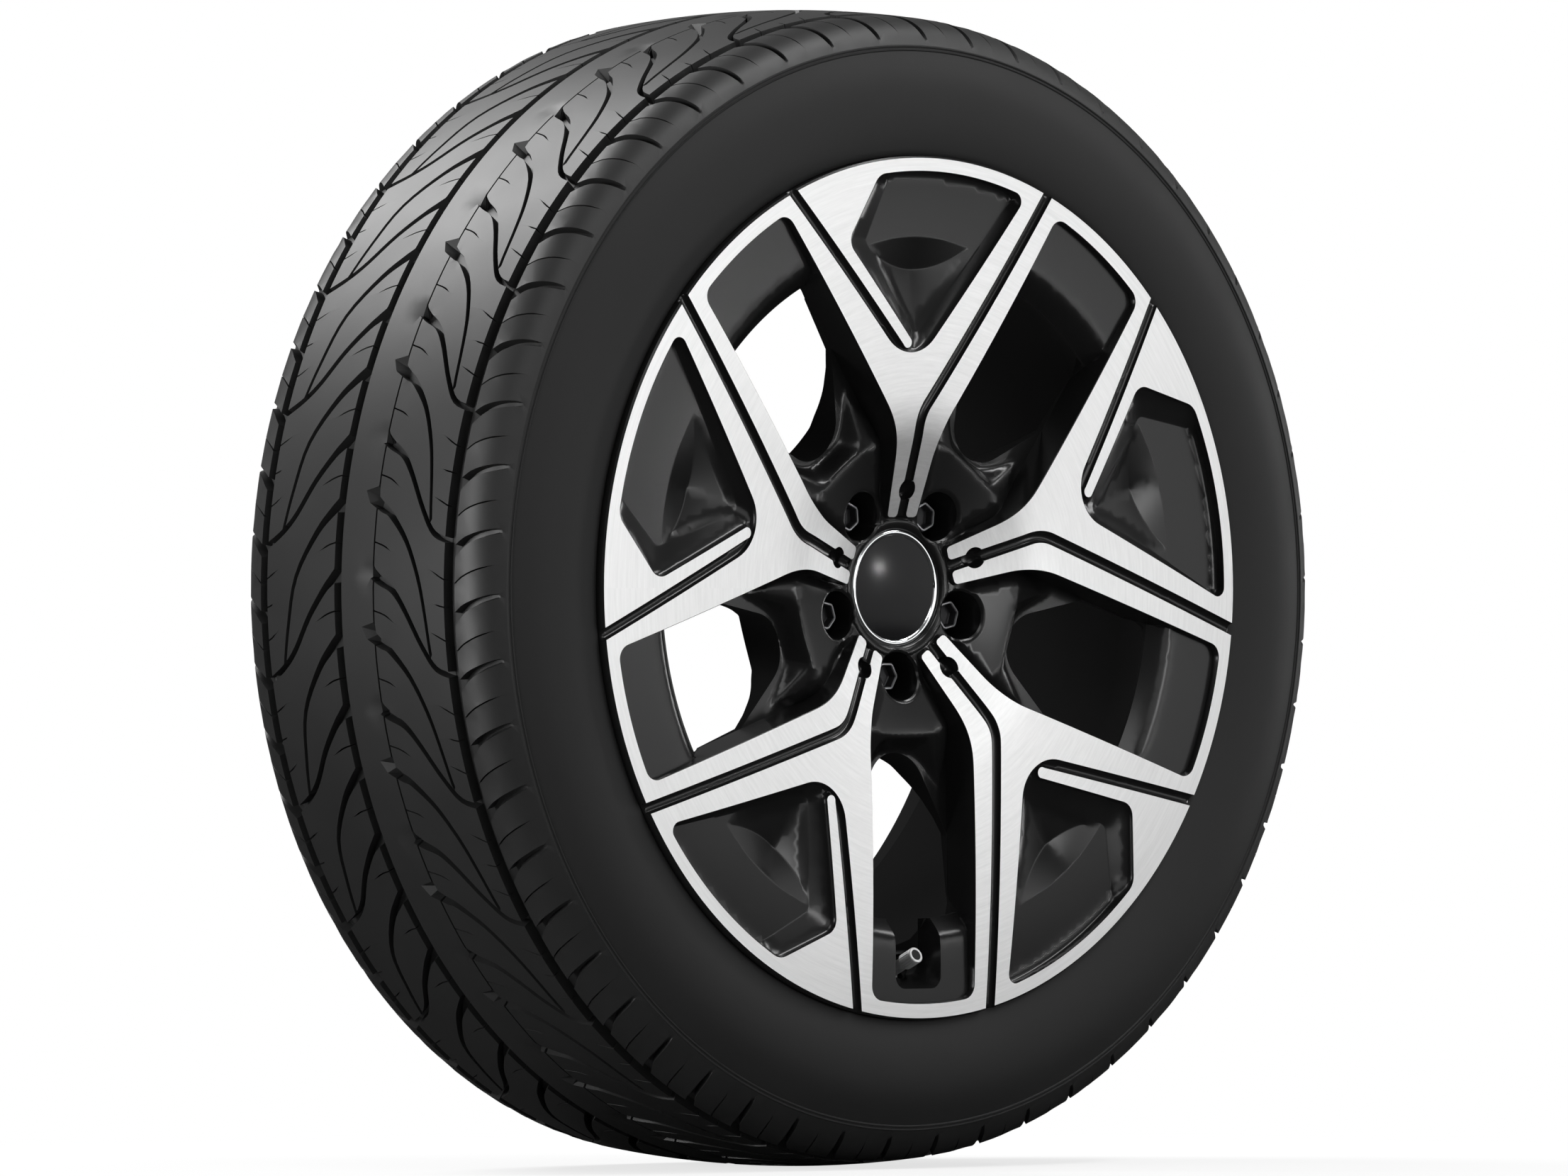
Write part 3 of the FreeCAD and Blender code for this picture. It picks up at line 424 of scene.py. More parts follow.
def grooveOutline():
    step, half = cast["step"], groove["half"]
    upper = leaning(groove["lean"], groove["offset"] + half)
    lower = leaning(groove["lean"], groove["offset"] - half)
    up = np.array([0.0, 1.0])
    left, right = (up, np.array([-half, 0.0])), (up, np.array([half, 0.0]))
    flare, end, small = half + groove["flare"], cast["fingerR"], groove["flareRound"]
    mouth = np.array([(-flare, groove["start"]), (-flare, end), (-half, end)])
    out = rounded([*mouth, crossing(left, upper), onRing(upper, pocket["beyond"])],
                  [groove["mouthRound"], small, groove["bend"] + half], step)
    back = rounded([onRing(lower, pocket["beyond"]), crossing(right, lower), *(mouth[::-1] * [-1, 1])],
                   [groove["bend"] - half, small, groove["mouthRound"]], step)
    return spread(out, step), spread(back, step)


notch = {
    "half": 19.5, "radius": 254.0, "corner": 8.0, "drop": 23.0, "backHalf": 16.5, "backRadius": 245.5,
    "openR": 200.0, "throughR": 231.0,
    "holeHalf": 7.4, "holeTall": 8.2, "holeZ": -240.4, "holeDrops": [30.0, 40.0], "valveTilt": 24.8,
}


def notchOutline(share):
    # from the front edge (share 0) to the back edge (share 1)
    half = notch["half"] + (notch["backHalf"] - notch["half"]) * share
    low = -notch["radius"] + (notch["radius"] - notch["backRadius"]) * share
    return spread(rounded([(-half, -notch["openR"]), (-half, low), (half, low), (half, -notch["openR"])],
                          [notch["corner"]] * 2, 2.0), cast["step"])


def lipOutline(away, radius):
    # the hub's edge in a window, or a line inside it, drawn as if that window pointed up
    lean = math.radians(cast["lipLean"])
    low = cast["lipZ"] + away
    near = cast["lipFlat"] - away * (1 - math.sin(lean)) / math.cos(lean)
    far = near + (cast["lipEnd"] - low) * math.tan(lean)
    return spread(rounded([(-far, cast["lipEnd"]), (-near, low), (near, low), (far, cast["lipEnd"])],
                          [radius] * 2, 1.5), cast["step"])


spokeLine = spokeOutline()
lipLine = lipOutline(0, cast["lipRound"])
flankLine = lipOutline(cast["flankPlan"], cast["flankRound"])
pocketLine = pocketOutline()
footLine = spread(rounded(pocket["foot"], [pocket["footRound"]] * 2, 1.5), cast["step"])
grooveLeft, grooveRight = grooveOutline()
grooveLine = np.concatenate([grooveLeft, grooveRight])
notchFront, notchBack = notchOutline(0), notchOutline(1)
print("outlines drawn")


def fold(points):
    # every point as if it lay on the upright spoke
    steps = np.round(np.degrees(np.arctan2(points[:, 0], points[:, 1])) / sector)
    a = np.radians(-steps * sector)
    c, s = np.cos(a), np.sin(a)
    return np.stack([points[:, 0] * c + points[:, 1] * s, points[:, 1] * c - points[:, 0] * s], -1)


def faceDrop(r):
    mid = (cast["bendR"] + cast["edgeR"]) / 2
    span = cast["edgeR"] - mid
    crown = -cast["crown"] * (1 - ((r - mid) / span) ** 2)
    slope = (cast["fingerDrop"] - cast["dishDrop"]) / (cast["dishR"] - cast["hubRingR"])
    dish = cast["dishDrop"] + (cast["dishR"] - r) * slope
    t = np.clip((r - cast["dishR"]) / (cast["bendR"] - cast["dishR"]), 0, 1)
    width = cast["bendR"] - cast["dishR"]
    crownSlope = -2 * cast["crown"] / span
    bend = ((2 * t**3 - 3 * t**2 + 1) * cast["dishDrop"] - (t**3 - 2 * t**2 + t) * slope * width
            + (t**3 - t**2) * crownSlope * width)
    drop = np.where(r > cast["bendR"], crown, np.where(r < cast["dishR"], dish, bend))
    edge = np.clip((r - cast["edgeR"]) / (cast["flangeR"] - cast["edgeR"]), 0, 1)
    return np.where(r > cast["edgeR"], cast["edgeFall"] * edge * edge, drop)


lugSide = polar(cast["lugCircle"], sector / 2)


def windowPlace(q):
    # across and along the axis of the nearer window
    angle = math.radians(sector / 2) - np.abs(np.arctan2(q[:, 0], q[:, 1]))
    r = lengths(q)
    return r * np.sin(angle), r * np.cos(angle)


def past(p, line):
    # how far beyond a line across a window, away from the hub
    gap = nearness(p, line)
    return np.where(within(p, np.concatenate([line, [(300, 400), (-300, 400)]])), gap, -gap)


def flankReach(q):
    # share of the way from the hub's lip to the window's edge, scaled to the flank's usual width
    p = np.stack(windowPlace(q), -1)
    lip, edge = past(p, lipLine), past(p, flankLine)
    share = np.maximum(lip, 0) / np.maximum(np.maximum(lip, 0) + np.maximum(-edge, 0), 1e-9)
    return np.where(lip < 0, lip, cast["flankPlan"] * share), edge


def outsideSpoke(q):
    gap = nearness(q, spokeLine)
    loop = np.concatenate([spokeLine, polar(400, np.array([sector / 2, 0, -sector / 2]))])
    return np.where(within(q, loop), -gap, gap)


def insideOf(q, line):
    gap = nearness(q, np.concatenate([line, line[:1]]))
    return np.where(within(q, line), gap, -gap)


def lensLine(bow, extra=0.0):
    x = np.linspace(-pocket["lensShare"], pocket["lensShare"], 33)
    return np.stack([x * pocket["lensHalf"], pocket["lensZ"] + bow * (1 - x * x) + extra], -1)


def hollowDepth(q):
    # the pocket's floor bends down along one curve, and up again from a second one
    x = np.minimum(np.abs(q[:, 0]) / pocket["lensHalf"], 1)
    bow = np.maximum(1 - x * x, 1e-3)
    outer = pocket["lensZ"] + pocket["lensOuter"] * bow
    inner = pocket["lensZ"] - pocket["lensInner"] * bow
    fall = (outer - q[:, 1]) / (outer - inner)
    rise = (q[:, 1] - pocket["hollowZ"]) / (inner - pocket["hollowZ"])
    return pocket["lensDeep"] * (1 - x) * np.clip(np.minimum(fall, rise), 0, 1)


def pocketDepth(q):
    d, foot = insideOf(q, pocketLine), insideOf(q, footLine)
    edge = np.sqrt(1 - (1 - np.clip(d / pocket["channelWidth"] * 2, 0, 1)) ** 2)
    d = np.maximum(d, 0)
    share = d / np.maximum(d + np.maximum(-foot, 0), 1e-9) * np.clip(d / pocket["edgeBreak"], 0, 1)
    depth = pocket["channelDeep"] * edge + (pocket["floorDeep"] - pocket["channelDeep"]) * share
    return depth + hollowDepth(q) * np.clip(foot / pocket["hollowEase"], 0, 1) * (d > 0)


def grooveDepth(q):
    d = np.clip(insideOf(q, grooveLine) / groove["half"], 0, 1)
    depth = groove["depth"] * np.sqrt(np.maximum(1 - (1 - d) ** 2, 0))
    far = lengths(q - [0, groove["dimpleZ"]]) / groove["dimpleR"]
    dish = groove["dimpleDepth"] * np.sqrt(1 - np.minimum(far, 1) ** 4)
    return np.maximum(depth, dish)


def windowFloor(q, out):
    r = lengths(q)
    below = cast["shelfR"] - r
    rise = (cast["ledgeDrop"] - cast["shelfDrop"]) / (cast["shelfR"] - cast["ledgeR"])
    shelf = cast["shelfDrop"] + rise * (below + np.sqrt(below * below + cast["shelfSoft"])) / 2
    # the hub's hollow, with a bead at its ring
    valley = np.interp(r, [cast["boreR"], cast["hubRingR"], cast["lipZ"], cast["wedgeR"]],
                       [cast["hubRingDrop"], cast["valleyDrop"], cast["lipDrop"], cast["wedgeDrop"]])
    bead = np.clip((r - cast["boreR"]) / (cast["hubRingR"] - cast["boreR"]), 0, 1)
    valley = valley + cast["beadDepth"] - cast["beadDepth"] * np.sqrt(1 - (2 * bead - 1) ** 2) * (bead < 1)
    # flanks that fall from the lip into the window
    reach = flankReach(q)[0]
    fall = cast["flankFall"] / cast["flankPlan"]
    valley = valley + fall * (reach + np.sqrt(reach * reach + cast["lipSoft"])) / 2
    # gutters beside the spokes' stems
    beside = np.clip((cast["gutterWide"] - out) / (cast["gutterWide"] - cast["wallPlan"]), 0, 1)
    gutter = cast["gutterDepth"] * beside * ease((r - cast["gutterFrom"]) / cast["gutterIn"])
    valley = valley + gutter * ease((cast["wedgeR"] - r) / cast["gutterOut"])
    # broken edges of the bolt wells
    lug = np.minimum(lengths(q - lugSide), lengths(q - lugSide * [-1, 1])) - cast["lugR"]
    valley = valley + np.maximum(cast["lugBreak"] - lug, 0) * cast["lugSlope"]
    return np.where(r > cast["shelfFrom"], shelf, valley)


def notchDepth(p):
    # share of the way from the notch's front edge to its back edge
    near = np.maximum(insideOf(p, notchFront), 0)
    return near / np.maximum(near + np.maximum(-insideOf(p, notchBack), 0), 1e-9)


def frontDrop(p):
    q = fold(p)
    r = lengths(q)
    top = faceDrop(r) + np.maximum(pocketDepth(q), grooveDepth(q))
    out = outsideSpoke(q)
    wall = top + np.interp(out, [0, cast["wallBreak"], cast["wallPlan"]],
                           [0, cast["wallBreak"], cast["wallDepth"]])
    floor = windowFloor(q, out)
    floor = floor + notchDepth(p) * np.maximum(notch["drop"] - floor, 0)
    return np.where(out > 0, softMin(wall, floor, cast["wallBlend"]), top)


def opening(p):
    q = fold(p)
    r = lengths(q)
    gap = (outsideSpoke(q) > cast["wallPlan"]) & (r < cast["ledgeR"]) & (flankReach(q)[1] > 0)
    gap |= (notchDepth(p) > 0.99) & (r < notch["throughR"])
    hole = ((p[:, 0] / notch["holeHalf"]) ** 2 + ((p[:, 1] - notch["holeZ"]) / notch["holeTall"]) ** 2 < 1)
    return gap | hole


def allRound(plan, line, closed=False):
    # a line on every spoke
    for k in range(cast["spokes"]):
        plan.line(turn(line, sector * k), closed)


def circle(radius, count, centre=(0, 0)):
    return np.asarray(centre) + polar(radius, np.arange(count) * 360 / count)


def lugSpots():
    return [polar(cast["lugCircle"], sector * (k + 0.5)) for k in range(cast["spokes"])]


def frontPlan():
    plan = Plan()
    count, ledge, shelf = 240, cast["ledgeR"], cast["shelfR"]
    for radius in (cast["flangeR"], cast["edgeR"]):
        plan.line(circle(radius, count), True)
    for radius in (cast["boreR"], 38.2, 39.3, 40.7, 42.2, 43.3, cast["hubRingR"]):
        plan.line(circle(radius, 96), True)
    for radius in (ledge, ledge + 3, shelf - 3, shelf + 1, shelf + 5):
        plan.line(circle(radius, count), True)
    for spot in lugSpots():
        for extra in (0, 0.6, cast["lugBreak"], 3.0):
            plan.line(circle(cast["lugR"] + extra, 56, spot), True)
    for d in (0, cast["wallBreak"], 1.0, cast["wallPlan"], 2.6, 3.8):
        allRound(plan, shifted(spokeLine, d))
    gutter = shifted(spokeLine, cast["gutterWide"])
    far = lengths(gutter)
    for run in runsOf(gutter, (far > 46) & (far < cast["wedgeR"])):
        allRound(plan, run)
    for d in (0, 0.35, 1.1, 2.3):
        allRound(plan, shifted(pocketLine, -d))
    for d in (-0.7, 0, 0.7, 5):
        foot = shifted(footLine, d)
        for run in runsOf(foot, insideOf(foot, pocketLine) > 2.6):
            allRound(plan, run)
    for bow in (pocket["lensOuter"], -pocket["lensInner"]):
        for extra in (-0.8, 0, 0.8):
            allRound(plan, lensLine(bow, extra))
    ridge = np.array([(0.0, pocket["ridgeZ"]), (0.0, pocket["lensZ"] - pocket["lensInner"])])
    allRound(plan, spread(ridge, cast["step"]))
    for d in (0, 0.35, 1.1, 2.3):
        for side in (grooveLeft, grooveRight):
            allRound(plan, shifted(side, d))
    for share in (1, 0.94, 0.8, 0.5):
        allRound(plan, circle(groove["dimpleR"] * share, 28, (0, groove["dimpleZ"])), True)
    for lip in [shifted(lipLine, d) for d in (3, 1, 0, -1, -3)] + [flankLine]:
        for run in runsOf(lip, np.abs(lip[:, 0]) < cast["windowHalf"] + 1):
            allRound(plan, turn(run, sector / 2))
    for share in (0, 0.1, 0.5, 1):
        plan.line(notchOutline(share))
    plan.line(circle(notch["throughR"], count)[count // 2 - 6:count // 2 + 7])
    plan.line(circle(1, 40) * [notch["holeHalf"], notch["holeTall"]] + [0, notch["holeZ"]], True)
    size = cast["flangeR"]
    plan.fill(ringGrid(size, cast["grid"], cast["boreR"], size - 2), cast["gridClear"])
    fine = ringGrid(cast["fineReach"], cast["fine"], *cast["fineR"])
    fine = fine[outsideSpoke(fold(fine)) > 0]
    reach, edge = flankReach(fold(fine))
    plan.fill(fine[(reach > -7) & (edge < 0)], cast["fineClear"])
    return plan


def solidPart(points, faces, outer, bore, lug):
    # the triangles that lie on the casting
    mid = points[faces].mean(1)
    far = lengths(mid)
    solid = (far < outer) & (far > bore) & ~opening(mid)
    for spot in lugSpots():
        solid &= lengths(mid - spot) > lug - 0.02
    return faces[solid]


def castingFront():
    points, faces = frontPlan().cut()
    faces = solidPart(points, faces, cast["flangeR"], cast["boreR"], cast["lugR"])
    q = fold(points[faces].mean(1))
    r = lengths(q)
    dimple = lengths(q - [0, groove["dimpleZ"]]) < groove["dimpleR"]
    bright = (outsideSpoke(q) < 0) & (insideOf(q, pocketLine) < 0) & (insideOf(q, grooveLine) < 0)
    bright &= ~dimple & (r < cast["edgeR"])
    return points, faces, np.where(bright, 1, 0)


back = {
    "boltR": 7.6, "boreR": 33.3, "barrelR": 233.2, "barrelDrop": 62.0,
    "pocketWall": 10.0, "pocketR": 212.0, "pocketRound": 8.0, "pocketDrop": 19.0, "pocketPlan": 1.6,
    "pocketSteep": 16.0, "reliefR": 13.0, "reliefDepth": 30.0, "edgeRound": 2.5, "edgeWide": 5.0,
    "edgeFrom": 116.0, "edgeIn": 20.0, "edgeTo": 216.0, "edgeOut": 12.0,
    "ledgeFrom": 200.0, "ledgeBlend": 3.0,
    "grid": 7.0, "gridClear": 3.0, "rings": (76, 80, 102, 205, 222, 228),
    # radius and drop of the spokes' backs, from the pad to the barrel, and of the windows' ledges
    "spoke": np.array([(33, 81.7), (76, 81.7), (80, 80.4), (102, 62), (114, 50), (126, 42.7), (138, 37),
                       (150, 33), (205, 26), (214, 27), (222, 31), (228, 40), (233.2, 62)]),
    "ledge": np.array([(200, 16.5), (211, 16.5), (216, 20), (224, 30), (233.2, 62)]),
}
# radius and drop along the sections that are turned on a lathe
rim = {
    "flange": [(273.9, 5.9), (271.1, 12.6), (264.4, 15.4), (262.9, 15.4), (258.3, 17.3), (255.8, 21.9)],
    "seat": [(254.9, 32.7), (256, 35.2), (254.9, 37.7), (238, 45.5), (238, 85.5), (247, 105.5), (247, 216.7),
             (254.9, 221.7), (256, 224.2), (254.9, 226.7)],
    "rear": [(273.9, 256.2), (273.2, 257.0), (271.5, 257.4), (269.1, 257.0), (257.6, 248.8)],
    "inside": [(250.1, 226.7), (242.2, 216.7), (242.2, 107.9), (233.2, 87.9)],
    "width": 259.4,
    "bore": [(37.5, 31.5), (31.6, 31.5), (31.6, 40.5), (32.7, 41.6), (32.7, 57.7), (33.3, 57.7),
             (33.3, 81.7)],
    "well": [(15.5, 57.9), (13, 57.9), (10.3, 62.2), (7.6, 64.5), (7.6, 81.7)],
}


def backPocketOutline():
    offset = cast["windowHalf"] + back["pocketWall"]
    right = leaning(sector / 2, offset)
    left = leaning(-sector / 2, offset)
    centre, start, end = ringRound(right, back["pocketR"], back["pocketRound"], -1)
    low = rounded([start, crossing(left, right), start * [-1, 1]], [back["pocketRound"]], cast["step"])
    flip = np.array([-1, 1])
    run = [low, sweep(centre * flip, start * flip, end * flip, 2.0)[1:],
           sweep((0, 0), end * flip, end, cast["step"])[1:], sweep(centre, end, start, 2.0)[1:-1]]
    return spread(np.concatenate(run), cast["step"] * 2)


backPocketLine = backPocketOutline()


def backDrop(p):
    q = fold(p)
    r = lengths(q)
    out = outsideSpoke(q)
    spoke = np.interp(r, *back["spoke"].T)
    edge = np.clip(1 - (cast["wallPlan"] - out) / back["edgeWide"], 0, 1)
    soft = back["edgeRound"] * edge**2 * ease((r - back["edgeFrom"]) / back["edgeIn"])
    spoke = spoke - soft * ease((back["edgeTo"] - r) / back["edgeOut"])
    deep = insideOf(q, backPocketLine)
    fall = np.maximum(spoke - deep / back["pocketPlan"] * back["pocketSteep"], back["pocketDrop"])
    spoke = np.where(deep > 0, fall, spoke)
    relief = lengths(q - [0, cast["lugCircle"]]) < back["reliefR"] - 0.1
    spoke = np.where(relief, spoke - back["reliefDepth"], spoke)
    blend = ease((out - 0.2) / back["ledgeBlend"]) * (r > back["ledgeFrom"])
    return spoke + (np.interp(r, *back["ledge"].T) - spoke) * blend


def edgeLoop(points, edges, centre):
    # the points of a round hole's edge, in order, and their angles about its middle
    ids = np.unique(edges)
    angle = np.degrees(np.arctan2(*(points[ids] - centre).T))
    order = np.argsort(angle)
    return points[ids][order], angle[order]


def castRound(skin, loop, rows, centre=(0, 0), mark=0):
    # rings that go on from a round edge of the front
    line, angles = loop
    rings = [place(line, frontDrop(line))]
    rings += [place(np.asarray(centre) + polar(r, angles), d) for r, d in rows]
    skin.rings(rings, mark)
    return angles


def castValveSeat(skin, line):
    tilt = math.tan(math.radians(notch["valveTilt"]))
    tube = [place(line, frontDrop(line))]
    tube += [place(line - [0, (d - notch["drop"]) * tilt], d) for d in notch["holeDrops"]]
    skin.rings(tube)
    skin.add(tube[-1], [list(range(len(line)))])


def castBacks(skin, ends, loops):
    # the spokes' backs, between the windows' edges and the round loops
    plan = Plan()
    plan.pairs(ends)
    for loop in loops:
        plan.line(loop, True)
    for radius in back["rings"]:
        plan.line(circle(radius, 180), True)
    for d in (0.2, 1.7, 3.2):
        side = shifted(spokeLine, d)
        allRound(plan, side[lengths(side) < back["barrelR"] - 1])
    for d in (0, back["pocketPlan"], 4.0):
        allRound(plan, shifted(backPocketLine, -d, True), True)
    for radius in (back["reliefR"], back["reliefR"] - 0.4):
        allRound(plan, circle(radius, 40, (0, cast["lugCircle"])), True)
    size = back["barrelR"]
    plan.fill(ringGrid(size, back["grid"], back["boreR"] + 2, size - 3), back["gridClear"])
    points, faces = plan.cut()
    faces = solidPart(points, faces, back["barrelR"], back["boreR"], back["boltR"])
    skin.add(place(points, backDrop(points)), faces, 2)


def castWalls(skin, ends):
    # walls of the windows, from the front's edges to the backs'
    flat = ends.reshape(-1, 2)
    front, rear = frontDrop(flat), backDrop(flat)
    walls = np.concatenate([place(flat, front), place(flat, np.maximum(rear, front + 0.3))])
    n = len(flat)
    i = np.arange(0, n, 2)
    skin.add(walls, np.stack([i + 1, i, i + n, i + 1 + n], -1), 2)


def buildCasting(materials):
    skin = Skin()
    points, faces, bright = castingFront()
    skin.add(place(points, frontDrop(points)), faces, bright)
    edges = rimEdges(faces)
    mid = points[edges].mean(1)
    far = lengths(mid)
    outer, bore = far > cast["flangeR"] - 0.4, far < cast["boreR"] + 0.2
    hole = (mid - [0, notch["holeZ"]]) / [notch["holeHalf"], notch["holeTall"]]
    atHole = np.abs(lengths(hole) - 1) < 0.03
    gap = ~(outer | bore | atHole)

    inboard = [(r, rim["width"] - d) for r, d in rim["flange"][::-1]]
    barrel = rim["inside"] + [(back["barrelR"], back["barrelDrop"])]
    section = rim["flange"] + rim["seat"] + inboard + rim["rear"] + barrel
    angles = castRound(skin, edgeLoop(points, edges[outer], 0), section, mark=2)
    loops = [polar(back["barrelR"], angles)]
    angles = castRound(skin, edgeLoop(points, edges[bore], 0), rim["bore"])
    loops.append(polar(back["boreR"], angles))
    for spot in lugSpots():
        near = np.abs(lengths(mid - spot) - cast["lugR"]) < 0.3
        gap &= ~near
        angles = castRound(skin, edgeLoop(points, edges[near], spot), rim["well"], spot)
        loops.append(spot + polar(back["boltR"], angles))
    castValveSeat(skin, edgeLoop(points, edges[atHole], np.array([0, notch["holeZ"]]))[0])
    ends = points[edges[gap]]
    castBacks(skin, ends, loops)
    castWalls(skin, ends)
    piece = skin.build("wheel_casting", "wheel", materials, 4e-6)
    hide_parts("alloy_wheel")
    print("casting:", len(piece.data.polygons), "faces")


# The tyre

tread = {
    "pitches": 27, "baseR": 366.0, "crownR": 368.75, "crownHalf": 96.0, "crownFall": 5.5,
    "bow": 2.6, "phase": 178.9, "slices": 12, "middleY": 48.0,
    "taper": 0.7, "clawDepth": 6.9, "sipe": 1.0, "sipeDepth": 4.5, "sipeTip": 0.02,
    "grid": 9.0, "gridClear": 4.05,
    # round grooves: middle, width, depth
    "bands": [(86.75, 9.1, 7.5), (20.15, 1.3, 6.0), (-13.15, 6.9, 7.5), (-88.5, 7.0, 7.5)],
    # slanted grooves: first angle, then distance from the middle, angle and width of each bend
    "claws": [
        (0.0, [(19.8, -0.3, 7.6), (26, 0.35, 6.4), (38.1, 1.4, 4.6), (48.9, 3.5, 3.7), (61.9, 6.9, 3.5),
               (72.7, 9.1, 3.8), (88, 9.9, 4.0)]),
        (6.3, [(19.8, -0.3, 7.6), (26, 0.3, 6.2), (33.8, 1.0, 4.8), (48.9, 3.6, 3.5), (59.7, 7.1, 3.0),
               (65.2, 10.6, 2.6), (68.6, 14.7, 2.4)]),
        (0.0, [(-14.5, -0.3, 7.6), (-20, 0.4, 6.4), (-26.8, 1.3, 5.0), (-41.9, 3.9, 4.2), (-57.1, 7.1, 4.0),
               (-70.1, 8.9, 4.0), (-87, 10.4, 4.2)]),
        (-6.9, [(-14.5, -0.3, 7.6), (-22, 0.6, 6.2), (-35.5, 2.6, 4.6), (-54.9, 6.9, 3.4), (-63.6, 11.7, 3.0),
                (-70.3, 15.8, 2.6)]),
    ],
    # thin cuts: first angle, then distance from the middle and angle of each bend
    "sipes": [
        (3.3, [(20, 0.0), (30, 0.45), (38, 1.2)]), (-3.4, [(20, 0.0), (29, 0.4), (35, 0.9)]),
        (3.3, [(-14.5, 0.0), (-24, 0.35), (-35, 1.1)]), (-3.4, [(-14.5, 0.0), (-23, 0.3), (-32, 0.9)]),
        (0.3, [(84, 0.1), (79, -0.25), (70, -1.0)]), (3.0, [(84, 0.05), (79, -0.1), (74, -0.3)]),
        (6.35, [(84, 0.1), (79, -0.25), (70, -0.9)]),
        (0.2, [(-86.5, 0.1), (-82, -0.25), (-74, -0.9)]), (3.0, [(-86.5, 0.1), (-82, -0.1), (-79, -0.3)]),
        (6.3, [(-86.5, 0.1), (-82, -0.2), (-75, -0.9)]),
    ],
    # short grooves and cuts at the edge, made on both sides
    "edgeFirst": 4.1,
    "edgeClaw": [(88.5, 0.4, 6.4, 7.0), (92, -0.1, 6.0, 7.0), (99, -1.0, 5.0, 6.6), (108, -1.65, 4.4, 5.4),
                 (117, -2.05, 4.0, 3.2), (122.5, -2.2, 2.6, 0.2)],
    "edgeSipe": [(88.5, 0.3), (97, -0.75), (107, -1.5), (118, -2.0)],
    "edgeSipeDepth": 3.15,
    # radius and distance out of the side, from the tread's edge to the bead and round the inside
    "side": [(344.5, 118.2), (343.9, 119.0), (343.3, 119.0), (342.9, 118.5), (342.1, 118.7), (341.7, 119.4),
             (341.1, 119.4), (340.6, 119.0), (336, 121.0), (330, 123.6), (323, 126.0), (315, 127.5),
             (307, 128.1), (299, 128.2), (291, 127.6), (284, 126.6), (279, 125.6), (276, 124.9),
             (274.3, 124.0), (271.2, 117.1), (264.4, 114.25), (262.9, 114.25), (258.3, 112.4),
             (255.9, 107.8), (255.0, 97.0), (264.4, 97.3), (290, 114), (315, 119.5), (335, 113),
             (347.05, 96), (351.2, 48), (352.55, 0)],
}


def curved(rows, parts=4):
    # a smooth run through rows of numbers
    rows = np.asarray(rows, float)
    ends = np.concatenate([2 * rows[:1] - rows[1:2], rows, 2 * rows[-1:] - rows[-2:-1]])
    out = [rows[:1]]
    for a, b, c, d in zip(ends[:-3], ends[1:-2], ends[2:-1], ends[3:]):
        t = (np.arange(1, parts + 1) / parts)[:, None]
        square = t * t * (2 * a - 5 * b + 4 * c - d) / 2
        cube = t**3 * (3 * b - a - 3 * c + d) / 2
        out.append(b + t * (c - a) / 2 + square + cube)
    return np.concatenate(out)


def treadSection():
    # half of the tread's section: run from its middle, radius, distance out, and slope
    bend = (tread["crownHalf"] ** 2 + tread["crownFall"] ** 2) / (2 * tread["crownFall"])
    d = np.linspace(0, tread["crownHalf"], 49)
    crown = np.stack([tread["crownR"] - bend + np.sqrt(bend * bend - d * d), d], -1)
    start, end = crown[-1], np.array(tread["side"][0])
    bow = (start + end) / 2 + tread["bow"]
    a, b = bow - start, end - start
    cross = 2 * (a[0] * b[1] - a[1] * b[0])
    centre = start + np.array([b[1] * (a @ a) - a[1] * (b @ b), a[0] * (b @ b) - b[0] * (a @ a)]) / cross
    section = np.concatenate([crown, sweep(centre, start, end, 1.5)[1:]])
    run = np.concatenate([[0], np.cumsum(np.linalg.norm(np.diff(section, axis=0), axis=-1))])
    way = norm(np.gradient(section, run, axis=0))
    return run, section, np.stack([way[:, 1], -way[:, 0]], -1)


sectionRun, sectionLine, sectionOut = treadSection()
treadHalf = sectionRun[-1]
pitchLength = tread["baseR"] * 2 * math.pi / tread["pitches"]


def arcOf(degrees):
    return np.radians(degrees) * tread["baseR"]


def thinCut(first, bends, depth):
    # a cut of one width that closes at its end
    rows = curved(bends, 3)
    n, half = len(rows), tread["sipe"] / 2
    wide = np.interp(np.arange(n), [0, n - 3, n - 1], [half, half, tread["sipeTip"]])
    return first, rows, wide, np.full(n, depth), half


def treadCuts():
    # every slanted groove and cut near one pitch: run, half widths, depths and slope of the sides
    cuts = []
    for first, bends in tread["claws"]:
        rows = curved(bends)
        deep = np.full(len(rows), tread["clawDepth"])
        cuts.append((first, rows[:, :2], rows[:, 2] / 2, deep, tread["taper"]))
    for first, bends in tread["sipes"]:
        cuts.append(thinCut(first, bends, tread["sipeDepth"]))
    spacing = 360 / tread["pitches"]
    for side in (1, -1):
        for k in (0, 0.5):
            first = tread["edgeFirst"] + k * spacing
            rows = curved([(u * side, *rest) for u, *rest in tread["edgeClaw"]], 3)
            cuts.append((first, rows[:, :2], rows[:, 2] / 2, rows[:, 3], tread["taper"]))
            bends = [(u * side, angle) for u, angle in tread["edgeSipe"]]
            cuts.append(thinCut(tread["edgeFirst"] + (k + 0.25) * spacing, bends, tread["edgeSipeDepth"]))
    near = []
    for first, rows, half, depth, taper in cuts:
        for k in range(-3, 4):
            run = np.stack([rows[:, 0], arcOf(first + rows[:, 1]) + k * pitchLength], -1)
            if run[:, 1].max() > -8 and run[:, 1].min() < pitchLength + 8:
                near.append((run, half, depth, taper))
    return near


